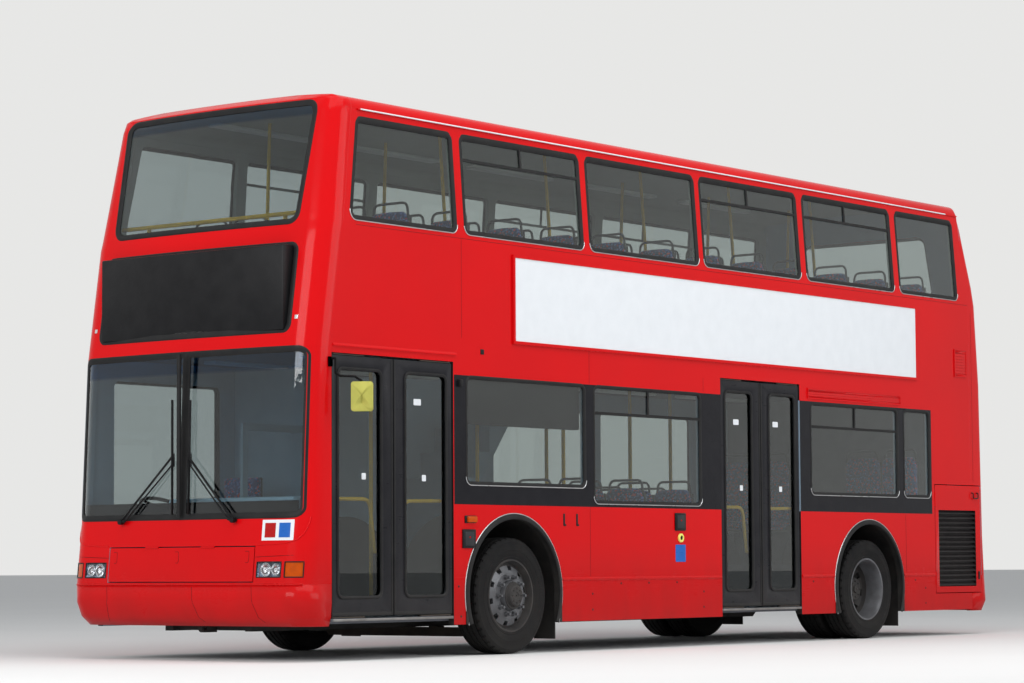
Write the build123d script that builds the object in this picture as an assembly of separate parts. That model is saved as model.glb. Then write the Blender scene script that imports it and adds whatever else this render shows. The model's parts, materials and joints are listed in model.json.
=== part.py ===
from build123d import *
import math
import os

os.makedirs("parts", exist_ok=True)

# Two-door low-floor double deck bus. Millimetres, +Z up, front towards -Y, doors on the +X side.
# Everything is drawn from the front axle: Y = 0 is the front axle, and Z = 0 is the ground.
# keep() moves each finished node so that the origin is at the middle of the length.

# Driving dimensions of the whole vehicle
LENGTH = 10680.0
WIDTH = 2520.0
FRONT_OVERHANG = 2650.0
REAR_OVERHANG = 2400.0
WALL = 55.0
SEAT = 0.3
AXLE_Y = FRONT_OVERHANG - LENGTH / 2
NOSE_Y = -FRONT_OVERHANG
REAR_Y = LENGTH - FRONT_OVERHANG
REAR_AXLE_Y = REAR_Y - REAR_OVERHANG
HALF = WIDTH / 2
INNER = HALF - WALL

# Heights of the floors
LOW_TOP = 327.0
FLOOR_THICK = 40.0
HIGH_TOP = 720.0
UPPER_TOP = 2480.0
UPPER_THICK = 60.0
UPPER_BOTTOM = UPPER_TOP - UPPER_THICK

# Heights of the body
SKIRT_Z = 255.0
BAND_Z0 = 1218.0
BAND_Z1 = UPPER_BOTTOM - 160.0
DOME_Z = UPPER_BOTTOM - 20.0
SILL_Z = UPPER_TOP + 890.0
CANT_Z = SILL_Z + 913.0
CANT_X = HALF - 67.0
CROWN_EDGE_Z = CANT_Z + 115.0
CROWN_EDGE_X = HALF - 175.0
CROWN_Z = CANT_Z + 157.0
ABOVE_ROOF = CANT_Z + 317.0
ROOF_THICK = 45.0

# Step up to the raised rear floor, and the engine bulkhead behind it
STEP_Y = REAR_AXLE_Y - 980.0
STEP_RUN = 300.0
BULKHEAD_Y = REAR_Y - 1160.0
BULKHEAD_THICK = 30.0

# Where the front and rear mouldings end against the side panels
DOOR_POST_Y = NOSE_Y + 380.0
FRONT_SEAM = (
    (DOOR_POST_Y, 0.0), (DOOR_POST_Y, UPPER_BOTTOM + 11.0), (NOSE_Y + 516.0, SILL_Z), (NOSE_Y + 750.0, ABOVE_ROOF),
)
REAR_SEAM_Y = REAR_Y - 385.0
REAR_SEAM = (
    (REAR_SEAM_Y, 0.0), (REAR_SEAM_Y, SILL_Z), (REAR_Y - 470.0, CANT_Z), (REAR_Y - 600.0, ABOVE_ROOF),
)

# Doorways: first station, last station, head height
CENTRE_DOOR_Y1 = REAR_AXLE_Y - 1235.0
FRONT_DOOR = (DOOR_POST_Y, -791.0, UPPER_BOTTOM - 58.0)
CENTRE_DOOR = (CENTRE_DOOR_Y1 - 1337.0, CENTRE_DOOR_Y1, UPPER_BOTTOM - 8.0)

# Door leaves and the arms that carry them
LEAF_THICK = 40.0
LEAF_PLANE_X = HALF - 28.0
LEAF_BOTTOM = 343.0
LEAF_HEAD_GAP = 17.0
LEAF_GLASS_Z0 = 486.0
LEAF_GLASS_DROP = 98.0
LEAF_OUTER_STILE = 68.0
LEAF_INNER_STILE = 140.0
LEAF_PANE = 6.0
PIVOT_FROM_JAMB = 38.0
LEAF_JAMB_GAP = 12.0
LEAF_MEETING_GAP = 8.0
LEAF_NOSE = 2.0
ARM_THICK = 9.0
ARM_WIDTH = 44.0
ARM_FOOT_R = 14.0
ARM_LIFT = 3.0
PIN_R = 8.0
PIN_DEPTH = 14.0
PIN_PLAY = 0.6

# Wheels and axles
TYRE_R = 478.0
TYRE_WIDTH = 270.0
TREAD_ROWS = 48
WALL_SLOPE = 34.0
WALL_HEIGHT = 62.0
RIM_R = 292.0
WHEEL_Z = TYRE_R
FRONT_TYRE_X = HALF - 160.0
REAR_OUTER_X = HALF - 160.0
TWIN_PITCH = 315.0
ARCH_R = TYRE_R + 135.0
ARCH_Z = WHEEL_Z + 22.0
LINER_R = ARCH_R + 29.0
LINER_THICK = 10.0
LINER_TOP_Z = 1300.0
FRONT_LINER_X = FRONT_TYRE_X - 540.0
REAR_LINER_X = REAR_OUTER_X - 472.0
KINGPIN_X = FRONT_TYRE_X - 170.0

# Engine flap in the nearside skirt
FLAP_Y0 = REAR_Y - 1125.0
FLAP_Y1 = REAR_Y - 185.0
FLAP_Z0 = 421.0
FLAP_Z1 = 1519.0
FLAP_GAP = 8.0
FLAP_THICK = 30.0
HINGE_R = FLAP_GAP - SEAT
HINGE_LENGTH = 140.0

# Stair well, which the offside window band starts behind
STAIR_Y0 = 720.0
STAIR_Y1 = 2400.0
STAIR_X0 = 560.0
WELL_Y0 = 900.0

# Stretches of the dark window band: first station, last station
BAND_END_Y = FLAP_Y0 - 49.0
NEARSIDE_BANDS = ((-782.0, CENTRE_DOOR[0]), (CENTRE_DOOR[1], BAND_END_Y))
OFFSIDE_BANDS = ((STAIR_Y1 + 380.0, BAND_END_Y),)

# Side windows of the lower deck: band, start and end as shares of the band, sill height, head height
WINDOW_R = 55.0
WINDOW_HEAD = BAND_Z1 - 10.0
NEARSIDE_PANES = (
    (0, 0.0422, 0.4615, 1386.0, WINDOW_HEAD),
    (0, 0.4958, 0.9164, 1256.0, WINDOW_HEAD),
    (1, 0.0792, 0.7314, 1385.0, WINDOW_HEAD - 9.0),
    (1, 0.7802, 0.9854, 1385.0, WINDOW_HEAD - 9.0),
)
OFFSIDE_PANES = (
    (0, 0.0196, 0.4146, 1386.0, WINDOW_HEAD - 9.0),
    (0, 0.4441, 0.8379, 1386.0, WINDOW_HEAD - 9.0),
    (0, 0.8673, 0.9912, 1386.0, WINDOW_HEAD - 9.0),
)
CAB_WINDOW = (NOSE_Y + 500.0, -900.0, 1150.0, WINDOW_HEAD)


def band_windows(panes, bands):
    """First station, last station, sill and head of each window in the bands."""
    windows = []
    for band, start, end, sill, head in panes:
        y0, y1 = bands[band]
        windows.append((y0 + (y1 - y0) * start, y0 + (y1 - y0) * end, sill, head))
    return tuple(windows)


NEARSIDE_WINDOWS = band_windows(NEARSIDE_PANES, NEARSIDE_BANDS)
OFFSIDE_WINDOWS = band_windows(OFFSIDE_PANES, OFFSIDE_BANDS)

# Windows of the upper deck: start and end as shares of the run behind the first window, and
# share of its width where the mullion of its hopper stands
UPPER_SILL = SILL_Z + 50.0
UPPER_HEAD = CANT_Z - 68.0
UPPER_RUN = (-738.0, REAR_Y - 595.0)
HOPPER_Z = CANT_Z - 260.0
UPPER_PANES = (
    (0.0148, 0.2113, 0.497),
    (0.2249, 0.4249, None),
    (0.4375, 0.6348, 0.484),
    (0.6500, 0.8458, 0.475),
    (0.8614, 1.0, None),
)
# First station at sill and head, last station
UPPER_WINDOWS = [(NOSE_Y + 610.0, NOSE_Y + 755.0, UPPER_RUN[0])]
run_y0, run_y1 = UPPER_RUN
for pane_start, pane_end, *_ in UPPER_PANES:
    pane_y0 = run_y0 + (run_y1 - run_y0) * pane_start
    UPPER_WINDOWS.append((pane_y0, pane_y0, run_y0 + (run_y1 - run_y0) * pane_end))
GLASS_THICK = 6.0
GLASS_INSET = 12.0
BAR_WIDTH = 24.0

# Outline of the front moulding: height, foremost station on the centre line, bulge, half width
CORNER_R = 200.0
CORNER_X = HALF - CORNER_R
FRONT_ROWS = (
    (SKIRT_Z + 15.0, NOSE_Y + 130.0, 25.0, HALF - 30.0),
    (340.0, NOSE_Y + 50.0, 25.0, HALF - 8.0),
    (450.0, NOSE_Y + 5.0, 25.0, HALF),
    (590.0, NOSE_Y, 25.0, HALF),
    (1100.0, NOSE_Y + 45.0, 33.0, HALF),
    (DOME_Z, NOSE_Y + 94.0, 45.0, HALF),
    (SILL_Z - 70.0, NOSE_Y + 220.0, 55.0, HALF),
    (SILL_Z, NOSE_Y + 238.0, 58.0, HALF),
    (CANT_Z, NOSE_Y + 415.0, 65.0, CANT_X),
    (CANT_Z + 87.0, NOSE_Y + 445.0, 70.0, CANT_X - 7.0),
    (CANT_Z + 137.0, NOSE_Y + 530.0, 70.0, CANT_X - 10.0),
    (CANT_Z + 162.0, NOSE_Y + 670.0, 70.0, CANT_X - 12.0),
)
FRONT_BACK_Y = NOSE_Y + 1150.0
AHEAD_Y = NOSE_Y - 350.0
WINDSCREEN = (HALF - 70.0, HALF - 70.0, 1108.0, DOME_Z - 8.0)
BLIND_WINDOW = (HALF - 238.0, HALF - 238.0, UPPER_TOP + 46.0, SILL_Z - 166.0)
UPPER_FRONT_WINDOW = (HALF - 275.0, HALF - 237.0, SILL_Z + 5.0, CANT_Z + 57.0)
BUMPER_TOP = 590.0
WINDSCREEN_BAR = 14.0

# Outline of the rear moulding: height, rearmost station, bulge, half width
REAR_CORNER_R = 120.0
REAR_CORNER_X = HALF - REAR_CORNER_R
REAR_ROWS = (
    (240.0, REAR_Y - 70.0, 20.0, HALF - 15.0),
    (345.0, REAR_Y, 20.0, HALF),
    (600.0, REAR_Y - 25.0, 20.0, HALF),
    (1000.0, REAR_Y - 50.0, 20.0, HALF),
    (UPPER_TOP + 80.0, REAR_Y - 75.0, 20.0, HALF),
    (SILL_Z, REAR_Y - 145.0, 20.0, HALF),
    (SILL_Z + 190.0, REAR_Y - 175.0, 20.0, HALF - 15.0),
    (CANT_Z - 133.0, REAR_Y - 345.0, 20.0, CANT_X + 10.0),
    (CANT_Z + 47.0, REAR_Y - 415.0, 20.0, CANT_X - 5.0),
    (CANT_Z + 117.0, REAR_Y - 475.0, 20.0, CANT_X - 10.0),
    (CANT_Z + 162.0, REAR_Y - 620.0, 20.0, CANT_X - 12.0),
)
REAR_FRONT_Y = REAR_SEAM_Y - 500.0
BEHIND_Y = REAR_Y + 100.0
BEYOND = HALF + 60.0
REAR_BUMPER_TOP = 600.0
REAR_DOOR = (840.0, 640.0, 1560.0)
REAR_EXIT = (760.0, UPPER_SILL, CANT_Z - 163.0)

# Seats: cushion and back of a double seat
SEAT_WIDTH = 860.0
CUSHION_DEPTH = 430.0
CUSHION_THICK = 110.0
CUSHION_TOP = 450.0
BACK_TOP = 1080.0
BACK_BELOW = 60.0
BACK_THICK = 60.0
BACK_SHOULDER = 90.0
LEG_WIDTH = 60.0
SEAT_PITCH = 740.0
HANDLE_R = 11.0
HANDLE_RISE = 55.0


def block(x0, x1, y0, y1, z0, z1):
    """Box between two corners."""
    centre = Pos((x0 + x1) / 2, (y0 + y1) / 2, (z0 + z1) / 2)
    return centre * Box(x1 - x0, y1 - y0, z1 - z0)


def side_prism(points, x0, x1):
    """Prism of a (station, height) outline between two X planes."""
    outline = Polyline(*[(x0, y, z) for y, z in points], close=True)
    return extrude(make_face(outline), amount=x1 - x0, dir=(1, 0, 0))


def cross_prism(points, y0, y1):
    """Prism of an (x, height) outline between two stations."""
    outline = Polyline(*[(x, y0, z) for x, z in points], close=True)
    return extrude(make_face(outline), amount=y1 - y0, dir=(0, 1, 0))


def quad(plane, points, radius, depth):
    """Rounded four-sided cutter, drawn on a plane and pushed both ways through it."""
    face = make_face(Polyline(*points, close=True))
    face = fillet(face.vertices(), radius)
    return extrude(plane * face, amount=depth, both=True)


def bar(start, end, radius):
    """Round bar between two points."""
    a, b = Vector(*start), Vector(*end)
    plane = Plane(origin=a, z_dir=b - a)
    return extrude(plane * Circle(radius), amount=(b - a).length)


def mirrored(shape):
    """The same shape on the other side of the vehicle."""
    return mirror(shape, about=Plane.YZ)


def both_sides(shape):
    """A shape and its twin on the other side, as one compound."""
    return Compound(children=[shape, mirrored(shape)])


def keep(name, shape):
    """Move a node to the frame at the middle of the length and write it."""
    solids = [Pos(0, AXLE_Y, 0) * solid for solid in shape.solids()]
    export_step(Compound(children=solids), f"parts/{name}.step")


def outline_face(height, station, bulge, half, corner_x, radius, back, sign):
    """Plan outline of an end moulding: bowed face, round corners and straight sides.

    sign is 1 for the front, which faces -Y, and -1 for the rear."""
    edge = station + sign * bulge
    corner = half - corner_x
    turn = 1 - math.sqrt(0.5)
    shoulder = edge + sign * radius
    right = (corner_x, edge, height)
    left = (-corner_x, edge, height)
    mid_right = (half - corner * turn, edge + sign * radius * turn, height)
    mid_left = (-half + corner * turn, edge + sign * radius * turn, height)
    edges = [
        ThreePointArc(left, (0, station, height), right),
        ThreePointArc(right, mid_right, (half, shoulder, height)),
        Line((half, shoulder, height), (half, back, height)),
        Line((half, back, height), (-half, back, height)),
        Line((-half, back, height), (-half, shoulder, height)),
        ThreePointArc((-half, shoulder, height), mid_left, left),
    ]
    return make_face(Wire(edges))


def front_mass(inset):
    """The front moulding as a filled form, drawn in by an inset."""
    rows = [
        outline_face(z, y + inset, bulge, half - inset, CORNER_X - inset * 0.6,
                     CORNER_R - inset * 0.4, FRONT_BACK_Y, 1)
        for z, y, bulge, half in FRONT_ROWS
    ]
    return loft(rows, ruled=True)


def rear_mass(inset):
    """The rear moulding as a filled form, drawn in by an inset."""
    rows = [
        outline_face(z, y - inset, bulge, half - inset, REAR_CORNER_X - inset * 0.3,
                     REAR_CORNER_R - inset * 0.7, REAR_FRONT_Y, -1)
        for z, y, bulge, half in REAR_ROWS
    ]
    return loft(rows, ruled=True)


def row_at(rows, z):
    """Station and bulge of an end moulding at a height, between two of its rows."""
    for low, high in zip(rows, rows[1:]):
        if low[0] <= z <= high[0]:
            share = (z - low[0]) / (high[0] - low[0])
            return [a + (b - a) * share for a, b in zip(low, high)]
    return rows[-1]


def front_y(x, z):
    """Station of the front's outer face."""
    row = row_at(FRONT_ROWS, z)
    return row[1] + row[2] * (x / CORNER_X) ** 2


def rear_y(x, z):
    """Station of the rear's outer face."""
    row = row_at(REAR_ROWS, z)
    return row[1] - row[2] * (x / REAR_CORNER_X) ** 2


def roof_face(inset, base, y):
    """Cross-section under the roof skin, from a base height up to the crown."""
    side = CANT_X - inset
    edge_x, edge_z = CROWN_EDGE_X - inset * 0.7, CROWN_EDGE_Z - inset * 0.8
    bend_x = (side + edge_x) / 2 + 24.0
    bend_z = (CANT_Z + edge_z) / 2 + 20.0
    wide = HALF + 100.0
    lean = (HALF - CANT_X) / (CANT_Z - SILL_Z)
    base_x = side + lean * (CANT_Z - base) if base > SILL_Z else wide
    start = [Line((side, y, CANT_Z), (base_x, y, base))]
    finish = [Line((-base_x, y, base), (-side, y, CANT_Z))]
    if base <= SILL_Z:
        start = [Line((side, y, CANT_Z), (wide, y, CANT_Z)), Line((wide, y, CANT_Z), (wide, y, base))]
        finish = [Line((-wide, y, base), (-wide, y, CANT_Z)), Line((-wide, y, CANT_Z), (-side, y, CANT_Z))]
    edges = [
        ThreePointArc((-edge_x, y, edge_z), (0, y, CROWN_Z - inset), (edge_x, y, edge_z)),
        ThreePointArc((edge_x, y, edge_z), (bend_x, y, bend_z), (side, y, CANT_Z)),
        *start,
        Line((base_x, y, base), (-base_x, y, base)),
        *finish,
        ThreePointArc((-side, y, CANT_Z), (-bend_x, y, bend_z), (-edge_x, y, edge_z)),
    ]
    return make_face(Wire(edges))


def roof_mass(inset, base, y0, y1):
    """Everything under the roof skin between two stations."""
    return extrude(roof_face(inset, base, y0), amount=y1 - y0, dir=(0, 1, 0))


def seam_region(grow):
    """Everything ahead of the raked seam behind the front moulding."""
    points = [(y - grow, z) for y, z in FRONT_SEAM]
    return side_prism([(AHEAD_Y, 0.0), *points, (AHEAD_Y, ABOVE_ROOF)], -BEYOND, BEYOND)


def behind_region(grow):
    """Everything behind the raked seam ahead of the rear moulding."""
    points = [(y + grow, z) for y, z in REAR_SEAM]
    return side_prism([*points, (BEHIND_Y, ABOVE_ROOF), (BEHIND_Y, 0.0)], -BEYOND, BEYOND)


def end_window(spec, radius, station, depth, grow):
    """Cutter for a window in a bowed end: half widths at sill and head, sill, head."""
    low, high, z0, z1 = spec
    plane = Plane(origin=(0, station, 0), x_dir=(1, 0, 0), z_dir=(0, -1, 0))
    low, high = low + grow, high + grow
    points = [(-low, z0 - grow), (low, z0 - grow), (high, z1 + grow), (-high, z1 + grow)]
    return quad(plane, points, radius, depth)


def lower_window(spec, grow):
    """Cutter for a side window of the lower deck, on the nearside wall."""
    y0, y1, z0, z1 = spec
    plane = Plane(origin=(HALF, 0, 0), x_dir=(0, 1, 0), z_dir=(1, 0, 0))
    y0, y1, z0, z1 = y0 - grow, y1 + grow, z0 - grow, z1 + grow
    return quad(plane, [(y0, z0), (y1, z0), (y1, z1), (y0, z1)], WINDOW_R, WALL * 2)


LEAN = math.atan2(HALF - CANT_X, CANT_Z - SILL_Z)
LEAN_PLANE = Plane(
    origin=(HALF, 0, SILL_Z), x_dir=(0, 1, 0), z_dir=(math.cos(LEAN), 0, math.sin(LEAN))
)


def up_slope(z):
    """Distance up the leaning wall for a height."""
    return (z - SILL_Z) / math.cos(LEAN)


def upper_window(spec, grow):
    """Cutter for a side window of the upper deck, square to the leaning nearside wall."""
    sill_y0, head_y0, y1 = spec
    low, high = up_slope(UPPER_SILL - grow), up_slope(UPPER_HEAD + grow)
    points = [(sill_y0 - grow, low), (y1 + grow, low), (y1 + grow, high), (head_y0 - grow, high)]
    return quad(LEAN_PLANE, points, WINDOW_R, WALL * 2)


def arch_cutter(station, radius, x0, x1):
    """Wheel arch: a half round above the wheel with straight legs down."""
    plane = Plane(origin=(x0, 0, 0), x_dir=(0, 1, 0), z_dir=(1, 0, 0))
    round_part = extrude(plane * Pos(station, ARCH_Z) * Circle(radius), amount=x1 - x0)
    return round_part + block(x0, x1, station - radius, station + radius, 0, ARCH_Z)


ARCH_STATIONS = (0.0, REAR_AXLE_Y)

# Front moulding: bumper, lower panel with the screen pillars, and the dome above
front_shell = front_mass(0) & roof_mass(0, 0, AHEAD_Y, FRONT_BACK_Y)
front_shell -= front_mass(WALL) & roof_mass(ROOF_THICK, 0, AHEAD_Y, FRONT_BACK_Y)
front_shell &= seam_region(SEAT)
front_bumper = front_shell & block(-BEYOND, BEYOND, AHEAD_Y, 0, 0, BUMPER_TOP)
front_panel = front_shell & block(-BEYOND, BEYOND, AHEAD_Y, 0, BUMPER_TOP + SEAT, DOME_Z)
front_dome = front_shell & block(-BEYOND, BEYOND, AHEAD_Y, 0, DOME_Z + SEAT, ABOVE_ROOF)
SCREEN_Y = NOSE_Y + 50.0
SCREEN_DEPTH = 320.0
UPPER_SCREEN_DEPTH = 520.0
front_panel -= end_window(WINDSCREEN, 70.0, SCREEN_Y, SCREEN_DEPTH, 0)
front_dome -= end_window(BLIND_WINDOW, 60.0, SCREEN_Y, SCREEN_DEPTH, 0)
front_dome -= end_window(UPPER_FRONT_WINDOW, 90.0, SCREEN_Y, UPPER_SCREEN_DEPTH, 0)

# Panes of the front, set back in their openings
pane_skin = front_mass(GLASS_INSET) - front_mass(GLASS_INSET + GLASS_THICK)
screen = pane_skin & end_window(WINDSCREEN, 70.0, SCREEN_Y, SCREEN_DEPTH, -SEAT)
screen -= block(-WINDSCREEN_BAR / 2, WINDSCREEN_BAR / 2, AHEAD_Y, 0, 0, SILL_Z)
blind_pane = pane_skin & end_window(BLIND_WINDOW, 60.0, SCREEN_Y, SCREEN_DEPTH, -SEAT)
upper_pane = pane_skin & end_window(UPPER_FRONT_WINDOW, 90.0, SCREEN_Y, UPPER_SCREEN_DEPTH, -SEAT)
front_glass = Compound(children=[*screen.solids(), *blind_pane.solids(), *upper_pane.solids()])

# Front lamps in the lower panel, one cluster each side: inner edge, outer edge, bottom, top
LAMP_Z0, LAMP_Z1 = 646.0, 762.0
FRONT_LAMPS = ((HALF - 448.0, HALF - 210.0), (HALF - 175.0, HALF - 45.0))
LAMP_BACK_Y = NOSE_Y + 250.0
lamp_skin = front_mass(4.0) - front_mass(WALL - 5.0)
front_lamps = []
for lamp_x0, lamp_x1 in FRONT_LAMPS:
    hole = block(lamp_x0, lamp_x1, AHEAD_Y, LAMP_BACK_Y, LAMP_Z0, LAMP_Z1)
    lens = block(lamp_x0 + SEAT, lamp_x1 - SEAT, AHEAD_Y, LAMP_BACK_Y, LAMP_Z0 + SEAT, LAMP_Z1 - SEAT)
    front_panel -= both_sides(hole)
    front_lamps += [lamp_skin & lens, lamp_skin & mirrored(lens)]

# Access flap under the windscreen: half width, bottom, top
FRONT_FLAP = (784.0, 606.0, 886.0)
FRONT_FLAP_THICK = 22.0
flap_x, flap_z0, flap_z1 = FRONT_FLAP
front_panel -= block(-flap_x, flap_x, AHEAD_Y, LAMP_BACK_Y, flap_z0, flap_z1)
front_flap = front_mass(0) - front_mass(FRONT_FLAP_THICK)
front_flap &= block(
    -flap_x + FLAP_GAP, flap_x - FLAP_GAP, AHEAD_Y, LAMP_BACK_Y, flap_z0 + FLAP_GAP, flap_z1 - FLAP_GAP
)

FRONT_HINGE_X = 300.0
front_hinge_z = flap_z1 - FLAP_GAP
front_hinge_y = front_y(FRONT_HINGE_X * 0.7, front_hinge_z)
for hinge_x in (-FRONT_HINGE_X, FRONT_HINGE_X):
    front_flap += bar(
        (hinge_x - HINGE_LENGTH / 2, front_hinge_y, front_hinge_z),
        (hinge_x + HINGE_LENGTH / 2, front_hinge_y, front_hinge_z), HINGE_R,
    )

# Side panels of the lower deck
DOORWAYS = (FRONT_DOOR, CENTRE_DOOR)


def lower_side(windows, bands, doorways, flaps):
    """Nearside wall of the lower deck and its dark window band."""
    seam = [(y, z) for y, z in FRONT_SEAM if z < SILL_Z]
    seam = [(FRONT_SEAM[0][0], SKIRT_Z), seam[-1], FRONT_SEAM[2]]
    wall = side_prism([*seam, (REAR_SEAM_Y, SILL_Z), (REAR_SEAM_Y, SKIRT_Z)], INNER, HALF)
    for y0, y1, head in doorways:
        wall -= block(INNER - 1, HALF + 1, y0, y1, 0, head)
    for station in ARCH_STATIONS:
        wall -= arch_cutter(station, ARCH_R, INNER - 1, HALF + 1)
    for y0, y1, z0, z1 in flaps:
        wall -= block(INNER - 1, HALF + 1, y0, y1, z0, z1)
    band = []
    for y0, y1 in bands:
        strip = block(INNER, HALF, y0, y1, BAND_Z0, BAND_Z1)
        wall -= strip
        for spec in windows:
            if y0 < spec[0] < y1:
                strip -= lower_window(spec, 0)
        band.append(strip)
    return wall, Compound(children=band)


ENGINE_FLAP = (FLAP_Y0, FLAP_Y1, FLAP_Z0, FLAP_Z1)
nearside_lower_side, nearside_band = lower_side(NEARSIDE_WINDOWS, NEARSIDE_BANDS, DOORWAYS, (ENGINE_FLAP,))
offside_lower_side, offside_band = lower_side(OFFSIDE_WINDOWS, OFFSIDE_BANDS, (), ())
offside_lower_side -= lower_window(CAB_WINDOW, 0)


REAR_SEAM_LOW = (REAR_SEAM[1][0], 0.0)
REAR_SEAM_HIGH = (REAR_SEAM[2][0], up_slope(CANT_Z))


def upper_side():
    """Leaning nearside wall of the upper deck with its windows cut."""
    (y_low, z_low), (y_high, z_high) = FRONT_SEAM[2:]
    y_cant = y_low + (y_high - y_low) * (CANT_Z - z_low) / (z_high - z_low)
    top = up_slope(CANT_Z)
    outline = Polyline((y_low, 0), REAR_SEAM_LOW, REAR_SEAM_HIGH, (y_cant, top), close=True)
    wall = extrude(LEAN_PLANE * make_face(outline), amount=-WALL)
    wall &= block(0, HALF, y_low, REAR_Y, SILL_Z, CANT_Z)
    for spec in UPPER_WINDOWS:
        wall -= upper_window(spec, 0)
    return wall


nearside_upper_side = upper_side()

# Roof between the two end mouldings
ROOF_BASE = CANT_Z + SEAT
roof = roof_mass(0, SILL_Z + 1.0, DOOR_POST_Y, REAR_SEAM_Y)
roof -= roof_mass(ROOF_THICK, SILL_Z + 1.0, DOOR_POST_Y, REAR_SEAM_Y)
roof &= block(-BEYOND, BEYOND, DOOR_POST_Y, REAR_SEAM_Y, ROOF_BASE, ABOVE_ROOF)
roof -= seam_region(-SEAT)
roof -= behind_region(0)

# Rear moulding with the engine door and the upper emergency window
rear_shell = rear_mass(0) & roof_mass(0, 0, REAR_FRONT_Y, BEHIND_Y)
rear_shell -= rear_mass(WALL) & roof_mass(ROOF_THICK, 0, REAR_FRONT_Y - 100.0, BEHIND_Y)
rear_shell &= behind_region(SEAT)
rear_shell -= block(0, BEYOND, REAR_SEAM_Y, FLAP_Y1, FLAP_Z0, FLAP_Z1)
rear_bumper = rear_shell & block(-BEYOND, BEYOND, REAR_SEAM_Y, BEHIND_Y, 0, REAR_BUMPER_TOP)
rear_panel = rear_shell & block(-BEYOND, BEYOND, REAR_FRONT_Y, BEHIND_Y, REAR_BUMPER_TOP + SEAT, ABOVE_ROOF)
door_half, door_z0, door_z1 = REAR_DOOR
rear_panel -= block(-door_half, door_half, REAR_SEAM_Y, BEHIND_Y, door_z0, door_z1)
REAR_DOOR_THICK = 30.0
rear_door = rear_mass(0) - rear_mass(REAR_DOOR_THICK)
rear_door &= block(-door_half + FLAP_GAP, door_half - FLAP_GAP, REAR_SEAM_Y, BEHIND_Y,
                   door_z0 + FLAP_GAP, door_z1 - FLAP_GAP)
# Cooling slots low in the engine door, two columns of slats between three posts
REAR_SLOTS = 9
SLOT_PITCH = 46.0
SLOT_HEIGHT = 22.0
SLOT_X0, SLOT_X1 = 60.0, 690.0
SLOT_Z0 = 720.0
for slot_row in range(REAR_SLOTS):
    slot_z = SLOT_Z0 + slot_row * SLOT_PITCH
    slot = block(SLOT_X0, SLOT_X1, REAR_SEAM_Y, BEHIND_Y, slot_z, slot_z + SLOT_HEIGHT)
    rear_door -= both_sides(slot)
REAR_HINGE_X = 400.0
rear_hinge_z = door_z1 - FLAP_GAP
rear_hinge_y = rear_y(REAR_HINGE_X * 0.7, rear_hinge_z)
for hinge_x in (-REAR_HINGE_X, REAR_HINGE_X):
    rear_door += bar(
        (hinge_x - HINGE_LENGTH / 2, rear_hinge_y, rear_hinge_z),
        (hinge_x + HINGE_LENGTH / 2, rear_hinge_y, rear_hinge_z), HINGE_R,
    )
exit_half, exit_z0, exit_z1 = REAR_EXIT
exit_spec = (exit_half, exit_half, exit_z0, exit_z1)
EXIT_DEPTH = 385.0
rear_panel -= end_window(exit_spec, 90.0, REAR_SEAM_Y, EXIT_DEPTH, 0)
rear_skin = rear_mass(GLASS_INSET) - rear_mass(GLASS_INSET + GLASS_THICK)
rear_pane = rear_skin & end_window(exit_spec, 90.0, REAR_SEAM_Y, EXIT_DEPTH, -SEAT)

# Side glass, set back in the window openings
lower_glass_skin = block(HALF - GLASS_INSET - GLASS_THICK, HALF - GLASS_INSET, NOSE_Y, REAR_Y, 0, SILL_Z)
lean_top = up_slope(CANT_Z)
lean_sheet = Polyline((NOSE_Y, 0), (REAR_Y, 0), (REAR_Y, lean_top), (NOSE_Y, lean_top), close=True)
upper_glass_skin = extrude(
    Plane(LEAN_PLANE.location * Pos(0, 0, -GLASS_INSET)) * make_face(lean_sheet), amount=-GLASS_THICK
)
panes = []
for window_spec in NEARSIDE_WINDOWS:
    panes.append(lower_glass_skin & lower_window(window_spec, -SEAT))
for window_spec in (*OFFSIDE_WINDOWS, CAB_WINDOW):
    panes.append(mirrored(lower_glass_skin & lower_window(window_spec, -SEAT)))
for window_spec in UPPER_WINDOWS:
    upper_side_pane = upper_glass_skin & upper_window(window_spec, -SEAT)
    panes += [upper_side_pane, mirrored(upper_side_pane)]
side_glass = Compound(children=[solid for pane in panes for solid in pane.solids()])

# Lower floor: low part, two steps, raised part over the rear axle, and the engine bulkhead
FLOOR_FRONT_Y = NOSE_Y + 170.0
floor_path = [
    (FLOOR_FRONT_Y, LOW_TOP), (STEP_Y, LOW_TOP), (STEP_Y, (LOW_TOP + HIGH_TOP) / 2),
    (STEP_Y + STEP_RUN, (LOW_TOP + HIGH_TOP) / 2), (STEP_Y + STEP_RUN, HIGH_TOP),
    (BULKHEAD_Y, HIGH_TOP), (BULKHEAD_Y, UPPER_BOTTOM - SEAT),
    (BULKHEAD_Y + BULKHEAD_THICK, UPPER_BOTTOM - SEAT),
    (BULKHEAD_Y + BULKHEAD_THICK, HIGH_TOP - FLOOR_THICK),
    (STEP_Y + STEP_RUN + FLOOR_THICK, HIGH_TOP - FLOOR_THICK),
    (STEP_Y + STEP_RUN + FLOOR_THICK, (LOW_TOP + HIGH_TOP) / 2 - FLOOR_THICK),
    (STEP_Y + FLOOR_THICK, (LOW_TOP + HIGH_TOP) / 2 - FLOOR_THICK),
    (STEP_Y + FLOOR_THICK, LOW_TOP - FLOOR_THICK), (FLOOR_FRONT_Y, LOW_TOP - FLOOR_THICK),
]
FLOOR_HALF = INNER - SEAT
lower_floor = side_prism(floor_path, -FLOOR_HALF, FLOOR_HALF)
for sign in (1, -1):
    for station, liner_x in ((0.0, FRONT_LINER_X), (REAR_AXLE_Y, REAR_LINER_X)):
        liner_edge = LINER_R + LINER_THICK + SEAT
        near, far = sorted((sign * (liner_x - SEAT), sign * (INNER + 10)))
        lower_floor -= block(near, far, station - liner_edge, station + liner_edge, 0, LINER_TOP_Z)
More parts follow.
